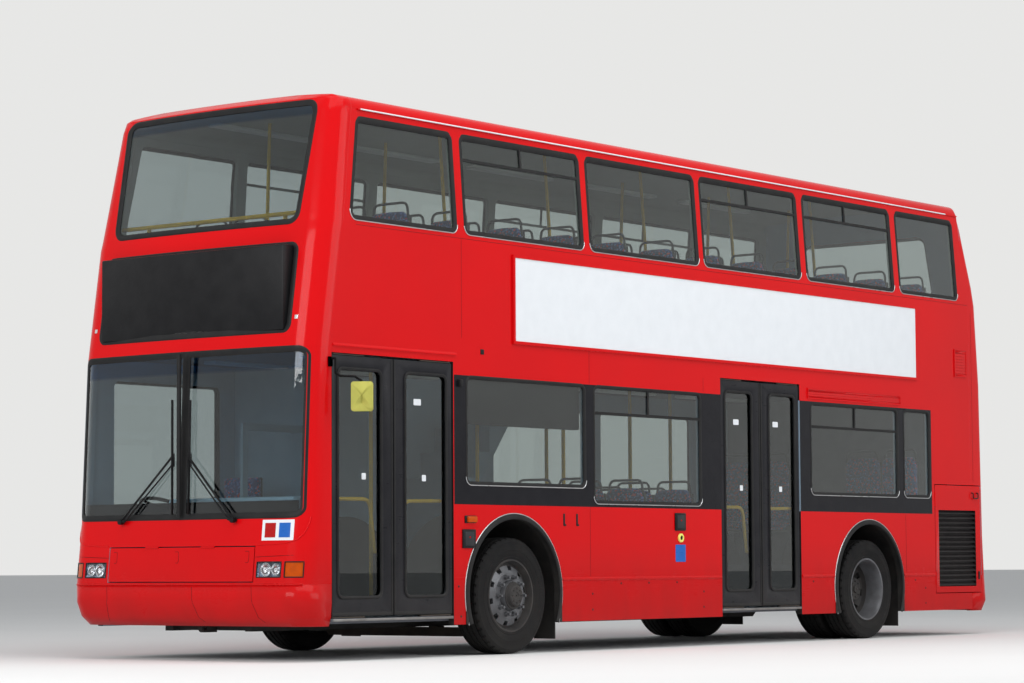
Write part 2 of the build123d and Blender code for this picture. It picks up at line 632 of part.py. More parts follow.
# The front of the floor follows the inside of the front moulding
floor_front = front_mass(WALL + SEAT) & block(
    -BEYOND, BEYOND, AHEAD_Y, DOOR_POST_Y, LOW_TOP - FLOOR_THICK, LOW_TOP
)
lower_floor = (lower_floor & block(-BEYOND, BEYOND, DOOR_POST_Y, REAR_Y, 0, SILL_Z)) + floor_front
# Door sills reach out under the leaves
DOOR_SILL_THICK = 22.0
DOOR_SILL_GAP = 2.0
for door_y0, door_y1, _ in DOORWAYS:
    lower_floor += block(
        FLOOR_HALF - 5, HALF - DOOR_SILL_GAP, door_y0 + DOOR_SILL_GAP, door_y1 - DOOR_SILL_GAP,
        LOW_TOP - DOOR_SILL_THICK, LOW_TOP,
    )

# Upper floor with the stairwell
UPPER_FLOOR_FRONT_Y = NOSE_Y + 530.0
UPPER_FLOOR_BACK_Y = BULKHEAD_Y + 700.0
upper_floor = block(-FLOOR_HALF, FLOOR_HALF, UPPER_FLOOR_FRONT_Y, UPPER_FLOOR_BACK_Y, UPPER_BOTTOM, UPPER_TOP)
upper_floor -= block(-INNER - 1, -STAIR_X0, WELL_Y0, STAIR_Y1, UPPER_BOTTOM - 1, UPPER_TOP + 1)
floor_nose = front_mass(WALL + SEAT) & block(
    -BEYOND, BEYOND, AHEAD_Y, UPPER_FLOOR_FRONT_Y, UPPER_BOTTOM, UPPER_TOP
)
upper_floor += floor_nose

# Staircase on the offside: treads on two stringers, rising rearwards
RISERS = 9
TREAD_THICK = 30.0
rise = (UPPER_TOP - LOW_TOP) / RISERS
going = (STAIR_Y1 - STAIR_Y0) / (RISERS - 1)
stair_points = [(STAIR_Y0, LOW_TOP + SEAT)]
for step in range(RISERS - 1):
    stair_points.append((STAIR_Y0 + step * going, LOW_TOP + (step + 1) * rise))
    stair_points.append((STAIR_Y0 + (step + 1) * going - SEAT, LOW_TOP + (step + 1) * rise))
stair_points.append((STAIR_Y1 - SEAT, LOW_TOP + (RISERS - 1) * rise - 2 * TREAD_THICK))
stair_points.append((STAIR_Y0 + going, LOW_TOP + SEAT))
staircase = side_prism(stair_points, -FLOOR_HALF, -STAIR_X0 - SEAT)

# Engine, one plain block at the rear
ENGINE_HALF = 380.0
ENGINE_Y0, ENGINE_Y1 = REAR_Y - 1070.0, REAR_Y - 390.0
ENGINE_Z0, ENGINE_Z1 = 430.0, 1260.0
engine = block(-ENGINE_HALF, ENGINE_HALF, ENGINE_Y0, ENGINE_Y1, ENGINE_Z0, ENGINE_Z1)

# Chassis rails: low rails under the saloon and raised rails over the rear axle
RAIL_X = 430.0
RAIL_HALF = 40.0
RAIL_LOW_Z0 = 225.0
RAIL_HIGH_Z0 = 585.0
RAIL_HIGH_Z1 = HIGH_TOP - FLOOR_THICK - SEAT
RAIL_GAP = 2.0
RAIL_FRONT_Y = NOSE_Y + 350.0
RAIL_BACK_Y = REAR_Y - 330.0
RAIL_RISE_Y0 = STEP_Y + 110.0
RAIL_RISE_Y1 = STEP_Y + 550.0
low_top = LOW_TOP - FLOOR_THICK - SEAT
step_back = STEP_Y + FLOOR_THICK + RAIL_GAP
upper_back = step_back + STEP_RUN
under_step = (LOW_TOP + HIGH_TOP) / 2 - FLOOR_THICK - RAIL_GAP
rail_points = [
    (RAIL_FRONT_Y, RAIL_LOW_Z0), (RAIL_RISE_Y0, RAIL_LOW_Z0), (RAIL_RISE_Y1, RAIL_HIGH_Z0),
    (RAIL_BACK_Y, RAIL_HIGH_Z0), (RAIL_BACK_Y, RAIL_HIGH_Z1), (upper_back, RAIL_HIGH_Z1),
    (upper_back, under_step), (step_back, low_top), (RAIL_FRONT_Y, low_top),
]
rail = side_prism(rail_points, RAIL_X - RAIL_HALF, RAIL_X + RAIL_HALF)
# Jacking pads under each rail: station, underside of the rail
JACK_PAD_HALF = 60.0
JACK_PAD_THICK = 10.0
JACK_PAD_INSET = 4.0
for pad_y, pad_z in ((NOSE_Y + 1150.0, RAIL_LOW_Z0), (REAR_Y - 1430.0, RAIL_HIGH_Z0)):
    rail += block(
        RAIL_X - RAIL_HALF + JACK_PAD_INSET, RAIL_X + RAIL_HALF - JACK_PAD_INSET,
        pad_y - JACK_PAD_HALF, pad_y + JACK_PAD_HALF, pad_z - JACK_PAD_THICK, pad_z,
    )
# Crossmembers: station, half length, bottom, top
between_x = RAIL_X - RAIL_HALF - SEAT
LOW_CROSS = (30.0, RAIL_LOW_Z0 + 5, low_top)
HIGH_CROSS = (18.0, RAIL_HIGH_Z0 + 5, RAIL_HIGH_Z1)
cross_y0, cross_y1 = 1100.0, STEP_Y - 1150.0
CROSSMEMBERS = (
    (NOSE_Y + 450.0, *LOW_CROSS),
    (-1100.0, *LOW_CROSS),
    (cross_y0, *LOW_CROSS),
    ((cross_y0 + cross_y1) / 2, *LOW_CROSS),
    (cross_y1, *LOW_CROSS),
    (REAR_Y - 1530.0, *HIGH_CROSS),
    (REAR_Y - 1140.0, *HIGH_CROSS),
    (REAR_Y - 350.0, *HIGH_CROSS),
)
crossmembers = [
    block(-between_x, between_x, station - half, station + half, z0, z1)
    for station, half, z0, z1 in CROSSMEMBERS
]
ENGINE_FOOT_HALF = 40.0
for station in (ENGINE_Y0 + 2 * ENGINE_FOOT_HALF, ENGINE_Y1 - 2 * ENGINE_FOOT_HALF):
    engine += block(-between_x, between_x, station - ENGINE_FOOT_HALF, station + ENGINE_FOOT_HALF,
                    RAIL_HIGH_Z0, RAIL_HIGH_Z1)

# Towing lug on the front crossmember, bored across for the towing bar's pin
TOW_PIN_R = 18.0
TOW_LUG_HALF = 22.0
TOW_Y = NOSE_Y + 290.0
TOW_Z = 250.0
TOW_LUG_R = 34.0
TOW_LUG_Y1 = CROSSMEMBERS[0][0] - 25.0
lug_face = Circle(TOW_LUG_R) + Pos((TOW_LUG_Y1 - TOW_Y) / 2, 0) * Rectangle(TOW_LUG_Y1 - TOW_Y, 2 * TOW_LUG_R)
lug_face -= Circle(TOW_PIN_R)
lug_plane = Plane(origin=(0, TOW_Y, TOW_Z), x_dir=(0, 1, 0), z_dir=(1, 0, 0))
tow_lug = extrude(lug_plane * lug_face, amount=TOW_LUG_HALF, both=True)
crossmembers[0] += tow_lug
chassis_frame = Compound(children=[rail, mirrored(rail), *crossmembers])

# Wheel arches: liner, mud flap behind the wheel, and edging on the panel around the arch
AXLE_WAY_R = 130.0
MUD_FLAP_Z = 110.0
MUD_FLAP_INSET = 20.0
EDGE_WIDTH = 26.0
EDGE_THICK = 9.0
LINERS = (
    (ARCH_STATIONS[0], FRONT_LINER_X, LOW_TOP - FLOOR_THICK, FRONT_TYRE_X - TYRE_WIDTH / 2),
    (ARCH_STATIONS[1], REAR_LINER_X, 380.0, REAR_LINER_X + MUD_FLAP_INSET),
)
arch_parts = []
for station, liner_x, base, mud_x in LINERS:
    outside = arch_cutter(station, LINER_R + LINER_THICK, liner_x, INNER - SEAT)
    inside = arch_cutter(station, LINER_R, liner_x + LINER_THICK, INNER + 10)
    liner = outside - inside
    liner &= block(0, HALF, station - 2 * LINER_R, station + 2 * LINER_R, base, LINER_TOP_Z)
    if station == REAR_AXLE_Y:
        liner -= arch_cutter(station, AXLE_WAY_R, liner_x - 1, liner_x + LINER_THICK + 1)
    liner += block(mud_x, INNER - MUD_FLAP_INSET, station + LINER_R, station + LINER_R + LINER_THICK,
                   MUD_FLAP_Z, base + MUD_FLAP_INSET)
    edging = arch_cutter(station, ARCH_R + EDGE_WIDTH, HALF + SEAT, HALF + EDGE_THICK)
    edging -= arch_cutter(station, ARCH_R, HALF, HALF + EDGE_THICK + 1)
    edging &= block(HALF, BEYOND, station - 2 * LINER_R, station + 2 * LINER_R, SKIRT_Z, LINER_TOP_Z)
    arch_parts += [liner, mirrored(liner), edging, mirrored(edging)]
wheel_arches = Compound(children=arch_parts)

# Front axle: dropped beam with a kingpin boss at each end
BEAM_HALF = 42.0
BOSS_R = 46.0
BOSS_Z0, BOSS_Z1 = WHEEL_Z - 70.0, WHEEL_Z + 70.0
half_beam = [
    (KINGPIN_X - 200, 140.0), (KINGPIN_X - 140, 200.0), (KINGPIN_X - 78, BOSS_Z0 + 8),
    (KINGPIN_X, BOSS_Z0 + 8), (KINGPIN_X, BOSS_Z1 - 8), (KINGPIN_X - 120, BOSS_Z1 - 8),
    (KINGPIN_X - 210, 215.0),
]
beam_points = half_beam + [(-x, z) for x, z in reversed(half_beam)]
front_axle = cross_prism(beam_points, -BEAM_HALF, BEAM_HALF)
for sign in (1, -1):
    boss = extrude(Plane(origin=(sign * KINGPIN_X, 0, BOSS_Z0)) * Circle(BOSS_R), amount=BOSS_Z1 - BOSS_Z0)
    pad = block(
        sign * RAIL_X - 50, sign * RAIL_X + 50, -BEAM_HALF, BEAM_HALF, 200.0, RAIL_LOW_Z0 - SEAT
    )
    front_axle += boss + pad
KING_R = 20.0
KING_PLAY = 0.6
for sign in (1, -1):
    front_axle -= extrude(
        Plane(origin=(sign * KINGPIN_X, 0, BOSS_Z0 - 1)) * Circle(KING_R + KING_PLAY),
        amount=BOSS_Z1 - BOSS_Z0 + 2,
    )

# Steering knuckle: fork around the boss with the kingpin, and the wheel spindle
EAR_THICK = 26.0
EAR_GAP = 3.0
EAR_HALF = 44.0
SPINDLE_R = 40.0
KNUCKLE_FACE_X = KINGPIN_X + 62.0
SPINDLE_END_X = FRONT_TYRE_X + 70.0


def knuckle():
    """Nearside knuckle, kingpin and spindle as one forging."""
    kingpin = extrude(
        Plane(origin=(KINGPIN_X, 0, BOSS_Z0 - EAR_GAP - 2)) * Circle(KING_R),
        amount=BOSS_Z1 - BOSS_Z0 + 2 * EAR_GAP + 4,
    )
    low = block(KINGPIN_X - EAR_HALF, KNUCKLE_FACE_X, -EAR_HALF, EAR_HALF,
                BOSS_Z0 - EAR_GAP - EAR_THICK, BOSS_Z0 - EAR_GAP)
    high = block(KINGPIN_X - EAR_HALF, KNUCKLE_FACE_X, -EAR_HALF, EAR_HALF,
                 BOSS_Z1 + EAR_GAP, BOSS_Z1 + EAR_GAP + EAR_THICK)
    web = block(KINGPIN_X + BOSS_R + 6, KNUCKLE_FACE_X + 12, -EAR_HALF, EAR_HALF,
                BOSS_Z0 - EAR_GAP - EAR_THICK, BOSS_Z1 + EAR_GAP + EAR_THICK)
    spindle = extrude(
        Plane(origin=(KNUCKLE_FACE_X, 0, WHEEL_Z), z_dir=(1, 0, 0)) * Circle(SPINDLE_R),
        amount=SPINDLE_END_X - KNUCKLE_FACE_X,
    )
    return kingpin + low + high + web + spindle


knuckle_left = knuckle()


def turned(points, station, x_sign=1):
    """Ring turned about a wheel's axis, from (x, radius) points."""
    outline = Polyline(*[(x_sign * x, station, WHEEL_Z + r) for x, r in points], close=True)
    axis = Axis((0, station, WHEEL_Z), (1, 0, 0))
    return revolve(make_face(outline), axis=axis, revolution_arc=360)


def tyre(centre, station):
    """Road tyre: a ring of straight tread rows with sloping walls and shoulders, bored for the rim."""
    half = TYRE_WIDTH / 2
    plane = Plane(origin=(centre, station, WHEEL_Z), x_dir=(0, 1, 0), z_dir=(1, 0, 0))
    flat_down = 90.0 + 180.0 / TREAD_ROWS
    ring = extrude(RegularPolygon(TYRE_R, TREAD_ROWS, major_radius=False, rotation=flat_down), half, both=True)
    for end in (0, -1):
        wall = ring.faces().sort_by(Axis.Z)[end]
        ring = chamfer(wall.edges(), WALL_HEIGHT, WALL_SLOPE, reference=wall)
    return plane * (ring - Cylinder(RIM_R, TYRE_WIDTH + 2))


def front_rim():
    """Front wheel: rim well, outset disc and the protruding hub."""
    c, half = FRONT_TYRE_X, TYRE_WIDTH / 2
    seat_r = RIM_R - SEAT
    points = [
        (c - half + 20, seat_r - 30), (c - half + 20, seat_r), (c + half - 20, seat_r),
        (c + half - 20, seat_r - 14), (c + half - 70, seat_r - 30), (c + half - 34, 190),
        (c + half - 34, 120), (c + half + 18, 112), (c + half + 18, 92), (c + half + 46, 78),
        (c + half + 46, 0), (SPINDLE_END_X + 6, 0), (SPINDLE_END_X + 6, SPINDLE_R + 0.6),
        (KNUCKLE_FACE_X + 20, SPINDLE_R + 0.6), (KNUCKLE_FACE_X + 20, 150), (c + 20, 150), (c + 20, 185),
        (c + half - 92, 200), (c + half - 104, seat_r - 30),
    ]
    return turned(points, 0.0)


REAR_HUB_X0 = REAR_OUTER_X - TWIN_PITCH - 60.0
AXLE_TUBE_R = 75.0
HUB_PLAY = 0.6


def rear_rim():
    """Twin rear wheels: two rim wells on one hub, with the outer disc dished inwards."""
    outer, inner = REAR_OUTER_X, REAR_OUTER_X - TWIN_PITCH
    half = TYRE_WIDTH / 2 - 20
    seat_r = RIM_R - SEAT
    well = 26.0
    points = [
        (inner - half, seat_r), (inner + half, seat_r), (inner + half, seat_r - well),
        (outer - half, seat_r - well), (outer - half, seat_r), (outer + half, seat_r),
        (outer + half, seat_r - 12), (outer + half - 50, seat_r - well), (outer - 70, seat_r - well - 30),
        (outer - 96, 170), (outer - 60, 150), (outer - 20, 130), (outer - 20, 80), (outer + 10, 70),
        (outer + 10, 0), (outer - 120, 0), (outer - 120, AXLE_TUBE_R + HUB_PLAY), (REAR_HUB_X0, AXLE_TUBE_R + HUB_PLAY),
        (REAR_HUB_X0, 150), (outer - 150, 170), (outer - 150, seat_r - well - 20), (inner - half, seat_r - well),
    ]
    return turned(points, REAR_AXLE_Y)


front_tyre = tyre(FRONT_TYRE_X, 0.0)
rear_tyres = Compound(children=[
    tyre(REAR_OUTER_X, REAR_AXLE_Y), tyre(REAR_OUTER_X - TWIN_PITCH, REAR_AXLE_Y)
])
front_wheel_rim = front_rim()
rear_wheel_rim = rear_rim()

# Rear axle: tube, differential and seats under the raised rails
DIFF_R = 180.0
TUBE_END_X = REAR_OUTER_X - 130.0
half_axle = [(110.0, DIFF_R), (185.0, DIFF_R - 45), (260.0, AXLE_TUBE_R), (TUBE_END_X, AXLE_TUBE_R), (TUBE_END_X, 0.0)]
rear_axle = turned([(-x, r) for x, r in reversed(half_axle)] + half_axle, REAR_AXLE_Y)
for sign in (1, -1):
    rear_axle += block(sign * RAIL_X - 50, sign * RAIL_X + 50, REAR_AXLE_Y - 60, REAR_AXLE_Y + 60,
                       WHEEL_Z, RAIL_HIGH_Z0 - SEAT)

# Door leaves and arms. P is the arm's pivot at the jamb and M its pivot at the middle of the leaf


def door_numbers(door, fore):
    """Pivot station, arm length and direction of a leaf from its jamb."""
    y0, y1, head = door
    meeting = (y0 + y1) / 2
    way = 1 if fore else -1
    jamb = y0 if fore else y1
    pivot = jamb + way * PIVOT_FROM_JAMB
    reach = abs(meeting - pivot) - LEAF_MEETING_GAP / 2 - LEAF_NOSE
    return pivot, reach / 2, way, head


def door_leaf(door, fore):
    """Glazed leaf: a framed panel with a thinner pane in one piece."""
    pivot, arm, way, head = door_numbers(door, fore)
    tail = pivot - way * (PIVOT_FROM_JAMB - LEAF_JAMB_GAP)
    nose = pivot + way * (2 * arm + LEAF_NOSE)
    x0, x1 = LEAF_PLANE_X - LEAF_THICK / 2, LEAF_PLANE_X + LEAF_THICK / 2
    top = head - LEAF_HEAD_GAP
    y0, y1 = sorted((tail, nose))
    leaf = block(x0, x1, y0, y1, LEAF_BOTTOM, top)
    glass_y = sorted((tail + way * LEAF_OUTER_STILE, nose - way * LEAF_INNER_STILE))
    depth = (LEAF_THICK - LEAF_PANE) / 2
    for a, b in ((x0 - 1, x0 + depth), (x1 - depth, x1 + 1)):
        leaf -= block(a, b, glass_y[0], glass_y[1], LEAF_GLASS_Z0, top - LEAF_GLASS_DROP)
    middle = pivot + way * arm
    for z in (LEAF_BOTTOM - 1, top - PIN_DEPTH - 1):
        socket = Plane(origin=(LEAF_PLANE_X, middle, z)) * Circle(PIN_R + PIN_PLAY)
        leaf -= extrude(socket, amount=PIN_DEPTH + 2)
    return leaf


def door_arms(door, fore):
    """Lower and upper arm of one leaf, each with a pin up or down into the leaf's edge."""
    pivot, arm, way, head = door_numbers(door, fore)
    middle = pivot + way * arm
    top = head - LEAF_HEAD_GAP
    solids = []
    low_z, high_z = LEAF_BOTTOM - ARM_LIFT - ARM_THICK, top + ARM_LIFT
    for z0, pin_z0, pin_z1, foot_z0, foot_z1 in (
        (low_z, low_z + ARM_THICK, LEAF_BOTTOM + PIN_DEPTH - 2, LOW_TOP + SEAT, low_z),
        (high_z, top - PIN_DEPTH + 2, high_z, high_z + ARM_THICK, head - SEAT),
    ):
        ends = SlotCenterToCenter(arm, ARM_WIDTH)
        plane = Plane(origin=(LEAF_PLANE_X, (pivot + middle) / 2, z0), x_dir=(0, 1, 0), z_dir=(0, 0, 1))
        link = extrude(plane * ends, amount=ARM_THICK)
        link += extrude(Plane(origin=(LEAF_PLANE_X, middle, pin_z0)) * Circle(PIN_R), amount=pin_z1 - pin_z0)
        foot = Plane(origin=(LEAF_PLANE_X, pivot, foot_z0)) * Circle(ARM_FOOT_R)
        link += extrude(foot, amount=foot_z1 - foot_z0)
        solids.append(link)
    return Compound(children=solids)


# Engine flap in the nearside skirt, with its black grille slats
flap_x0 = HALF - FLAP_THICK
engine_flap = block(flap_x0, HALF, FLAP_Y0 + FLAP_GAP, FLAP_Y1 - FLAP_GAP, FLAP_Z0 + FLAP_GAP, FLAP_Z1 - FLAP_GAP)
GRILLE = (FLAP_Y0 + 76.0, FLAP_Y1 - 110.0, FLAP_Z0 + 69.0, FLAP_Z1 - 259.0)
SLATS = 16
SLAT_THICK = 8.0
SLAT_DROP = 24.0
grille_y0, grille_y1, grille_z0, grille_z1 = GRILLE
engine_flap -= block(flap_x0 - 1, HALF + 1, grille_y0, grille_y1, grille_z0, grille_z1)
slat_pitch = (grille_z1 - grille_z0) / SLATS
for slat in range(SLATS):
    slat_x0, slat_x1 = flap_x0 + 2, HALF - 2
    high = grille_z0 + slat * slat_pitch + SLAT_DROP + SLAT_THICK
    low = high - SLAT_DROP
    points = [(slat_x0, high), (slat_x1, low), (slat_x1, low + SLAT_THICK), (slat_x0, high + SLAT_THICK)]
    engine_flap += cross_prism(points, grille_y0 - 1, grille_y1 + 1)

HINGE_FROM_END = 150.0
for hinge_z in (FLAP_Z0 + HINGE_FROM_END, FLAP_Z1 - HINGE_FROM_END):
    engine_flap += bar(
        (HALF, FLAP_Y0 + FLAP_GAP, hinge_z - HINGE_LENGTH / 2),
        (HALF, FLAP_Y0 + FLAP_GAP, hinge_z + HINGE_LENGTH / 2), HINGE_R,
    )

# White side board, and the frame that holds it
BOARD = (15.0, REAR_Y - 1475.0, UPPER_TOP + 94.0, SILL_Z - 105.0)
BOARD_THICK = 12.0
FRAME_WIDTH = 26.0
FRAME_THICK = 18.0
board_y0, board_y1, board_z0, board_z1 = BOARD
side_board = block(HALF + SEAT, HALF + SEAT + BOARD_THICK, *BOARD)
board_frame = block(HALF + SEAT, HALF + FRAME_THICK, board_y0 - FRAME_WIDTH, board_y1 + FRAME_WIDTH,
                    board_z0 - FRAME_WIDTH, board_z1 + FRAME_WIDTH)
board_frame -= block(HALF, HALF + FRAME_THICK + 1, board_y0 - SEAT, board_y1 + SEAT, board_z0 - SEAT, board_z1 + SEAT)

# Mouldings on the sides: skirt rails between the arches, roof gutters and a drip rail over the front door
RAIL_Z = 610.0
RAIL_RISE = 15.0
RAIL_PROUD = 9.0
MOULDING_GAP = 12.0
arch_clear = ARCH_R + EDGE_WIDTH + MOULDING_GAP
NEARSIDE_RAILS = (
    (arch_clear, CENTRE_DOOR[0] - MOULDING_GAP),
    (CENTRE_DOOR[1] + MOULDING_GAP, REAR_AXLE_Y - arch_clear),
    (REAR_AXLE_Y + arch_clear, FLAP_Y0 - MOULDING_GAP),
)
OFFSIDE_RAILS = (
    (DOOR_POST_Y + MOULDING_GAP, -arch_clear),
    (arch_clear, REAR_AXLE_Y - arch_clear),
    (REAR_AXLE_Y + arch_clear, REAR_SEAM_Y - MOULDING_GAP),
)


def skirt_rail(y0, y1):
    """Half-round rail along the nearside skirt."""
    crest = HALF + RAIL_PROUD
    low, high = (HALF + SEAT, y0, RAIL_Z - RAIL_RISE), (HALF + SEAT, y0, RAIL_Z + RAIL_RISE)
    bow = ThreePointArc(low, (crest, y0, RAIL_Z), high)
    back = Line(high, low)
    return extrude(make_face(Wire([bow, back])), amount=y1 - y0, dir=(0, 1, 0))


gutter = block(CANT_X + SEAT, CANT_X + MOULDING_GAP, NOSE_Y + 760.0, REAR_Y - 480.0, CANT_Z + 1, CANT_Z + 13)
drip_y0, drip_y1, drip_z = FRONT_DOOR[0] + MOULDING_GAP, FRONT_DOOR[1] + 40.0, FRONT_DOOR[2] + 50.0
drip_rail = cross_prism(
    [(HALF + SEAT, drip_z), (HALF + 10, drip_z), (HALF + 10, drip_z + 10), (HALF + SEAT, drip_z + 26)], drip_y0, drip_y1
)
side_mouldings = Compound(children=[
    *[skirt_rail(y0, y1) for y0, y1 in NEARSIDE_RAILS],
    *[mirrored(skirt_rail(y0, y1)) for y0, y1 in OFFSIDE_RAILS],
    board_frame, drip_rail, gutter, mirrored(gutter),
])

# Louvred vents: the long one over the rear nearside windows and the square one behind the side board
VENT_FRAME = 12.0
VENT_DEPTH = 10.0
# First station, last station, bottom, top, number of slats
VENTS = (
    (CENTRE_DOOR[1] + 135.0, REAR_AXLE_Y + 622.0, BAND_Z1 + 22.0, BAND_Z1 + 124.0, 4),
    (REAR_Y - 688.0, REAR_Y - 439.0, UPPER_TOP + 140.0, UPPER_TOP + 425.0, 9),
)


def vent(y0, y1, z0, z1, slats):
    """Framed louvre that stands on the nearside panel."""
    outer = block(HALF + SEAT, HALF + VENT_DEPTH, y0, y1, z0, z1)
    body = outer - block(HALF + 3, BEYOND, y0 + VENT_FRAME, y1 - VENT_FRAME, z0 + VENT_FRAME, z1 - VENT_FRAME)
    pitch = (z1 - z0 - 2 * VENT_FRAME) / slats
    for index in range(slats):
        low = z0 + VENT_FRAME + index * pitch
        slope = [(HALF + 2, low), (HALF + VENT_DEPTH - 1, low), (HALF + 2, low + pitch * 0.8)]
        body += cross_prism(slope, y0 + VENT_FRAME / 2, y1 - VENT_FRAME / 2)
    return body


side_vents = Compound(children=[vent(*spec) for spec in VENTS])

# Bars of the hopper windows: a transom across, and a mullion above it
bar_x0, bar_x1 = HALF - GLASS_INSET + SEAT, HALF - 3.0


def lower_bars(window, transom_z, mullion_share):
    """Transom and mullion in front of a pane of the nearside lower deck."""
    y0, y1, z0, z1 = window
    across = block(bar_x0, bar_x1, y0, y1, transom_z, transom_z + BAR_WIDTH)
    middle = y0 + (y1 - y0) * mullion_share
    upright = block(bar_x0, bar_x1, middle - BAR_WIDTH / 2, middle + BAR_WIDTH / 2, transom_z + BAR_WIDTH / 2, z1)
    return (across + upright) & lower_window(window, -SEAT)


def upper_bars(window, mullion_share):
    """Transom and mullion in front of a pane of the nearside upper deck."""
    y0, y1 = window[0], window[2]
    middle = y0 + (y1 - y0) * mullion_share
    low, head = up_slope(HOPPER_Z), up_slope(UPPER_HEAD)
    depth = bar_x1 - bar_x0
    plane = Plane(LEAN_PLANE.location * Pos(0, 0, SEAT - GLASS_INSET))
    across = Pos((y0 + y1) / 2, low) * Rectangle(y1 - y0, BAR_WIDTH)
    upright = Pos(middle, (low + head) / 2) * Rectangle(BAR_WIDTH, head - low)
    return extrude(plane * (across + upright), amount=depth) & upper_window(window, -SEAT)


LOWER_HOPPERS = (1, 2)
LOWER_HOPPER_Z = WINDOW_HEAD - 240.0
bars = [lower_bars(NEARSIDE_WINDOWS[index], LOWER_HOPPER_Z, 0.5) for index in LOWER_HOPPERS]
for upper_spec, (*_, mullion_share) in zip(UPPER_WINDOWS[1:], UPPER_PANES):
    if mullion_share:
        upper_pair = upper_bars(upper_spec, mullion_share)
        bars += [upper_pair, mirrored(upper_pair)]
window_bars = Compound(children=bars)


def double_seat(x0, station, base):
    """Cushion, leg and back of a double seat that faces forward, with a handle on its aisle corner."""
    x1 = x0 + SEAT_WIDTH
    cushion_z = base + CUSHION_TOP
    cushion = block(x0, x1, station, station + CUSHION_DEPTH, cushion_z - CUSHION_THICK, cushion_z)
    mid = (x0 + x1) / 2
    leg = block(mid - LEG_WIDTH / 2, mid + LEG_WIDTH / 2, station + 80, station + 320,
                base + SEAT, cushion_z - CUSHION_THICK - SEAT)
    s = BACK_SHOULDER
    low, top = cushion_z - BACK_BELOW, base + BACK_TOP
    lobes = []
    for a, b in ((x0, mid - 4), (mid + 4, x1)):
        lobes += [(a, top - s), (a + s * 0.7, top), (b - s * 0.7, top), (b, top - s)]
    back_y = station + CUSHION_DEPTH + SEAT
    back = cross_prism([(x0, low), *lobes, (x1, low)], back_y, back_y + BACK_THICK)
    aisle = x0 if x0 > 0 else x1
    way = 1 if x0 > 0 else -1
    handle_y, handle_z = back_y + BACK_THICK / 2, top + HANDLE_RISE
    corner, inner = aisle + way * 2 * HANDLE_R, aisle + way * (s * 0.7 + 60.0)
    back += bar((corner, handle_y, top - s), (corner, handle_y, handle_z), HANDLE_R)
    back += bar((corner - way * HANDLE_R, handle_y, handle_z), (inner + way * HANDLE_R, handle_y, handle_z), HANDLE_R)
    back += bar((inner, handle_y, top - s), (inner, handle_y, handle_z), HANDLE_R)
    return [cushion, leg, back]


def rows_between(y0, y1):
    """How many seat rows fit between two stations."""
    return int((y1 - y0 - CUSHION_DEPTH - BACK_THICK) / SEAT_PITCH) + 1


def standing_height(station):
    """Height that the rearmost lower seat stands at: the raised floor, or the wheel arch where it is over one."""
    reach = LINER_R + LINER_THICK
    over = max(0.0, reach ** 2 - (station - REAR_AXLE_Y) ** 2)
    return max(HIGH_TOP, ARCH_Z + math.sqrt(over) + SEAT)


# Seat rows of each deck: inner edge of the seat, first row, number of rows, floor height
NEAR_X = INNER - SEAT_WIDTH - 15.0
OFF_X = -INNER + 15.0
LAST_ROW_Y = BULKHEAD_Y - 620.0
LOWER_FRONT_ROW_Y = 760.0
BEHIND_STAIR_Y = STAIR_Y1 + 160.0
UPPER_FRONT_ROW_Y = NOSE_Y + 950.0
UPPER_LAST_Y = REAR_Y - 560.0
last_base = standing_height(LAST_ROW_Y)
LOWER_ROWS = (
    (NEAR_X, LOWER_FRONT_ROW_Y, rows_between(LOWER_FRONT_ROW_Y, CENTRE_DOOR[0]), LOW_TOP),
    (OFF_X, BEHIND_STAIR_Y, rows_between(BEHIND_STAIR_Y, STEP_Y), LOW_TOP),
    (NEAR_X, LAST_ROW_Y, 1, last_base),
    (OFF_X, LAST_ROW_Y, 1, last_base),
)
UPPER_ROWS = (
    (NEAR_X, UPPER_FRONT_ROW_Y, rows_between(UPPER_FRONT_ROW_Y, UPPER_LAST_Y), UPPER_TOP),
    (OFF_X, UPPER_FRONT_ROW_Y, rows_between(UPPER_FRONT_ROW_Y, WELL_Y0), UPPER_TOP),
    (OFF_X, BEHIND_STAIR_Y, rows_between(BEHIND_STAIR_Y, UPPER_LAST_Y), UPPER_TOP),
)


def seats(rows):
    """Every double seat of a deck."""
    solids = []
    for x0, station, count, base in rows:
        for row in range(count):
            solids += double_seat(x0, station + row * SEAT_PITCH, base)
    return Compound(children=solids)


# Poles from floor to ceiling: x, station, foot height, head height
POLE_R = 17.0
POLE_X = 300.0
centre_y0, centre_y1 = CENTRE_DOOR[0] - 73.0, CENTRE_DOOR[1] + 75.0
pole_y = 720.0
POLES = (
    (POLE_X, -690.0), (POLE_X, pole_y), (-480.0, 660.0), (POLE_X, pole_y + (centre_y0 - pole_y) * 0.547),
    (-POLE_X, STAIR_Y1 + 100.0), (POLE_X, centre_y0), (POLE_X, centre_y1), (-POLE_X, centre_y1 + 30.0),
)
rails = [bar((x, y, LOW_TOP + SEAT), (x, y, UPPER_BOTTOM - SEAT), POLE_R) for x, y in POLES]

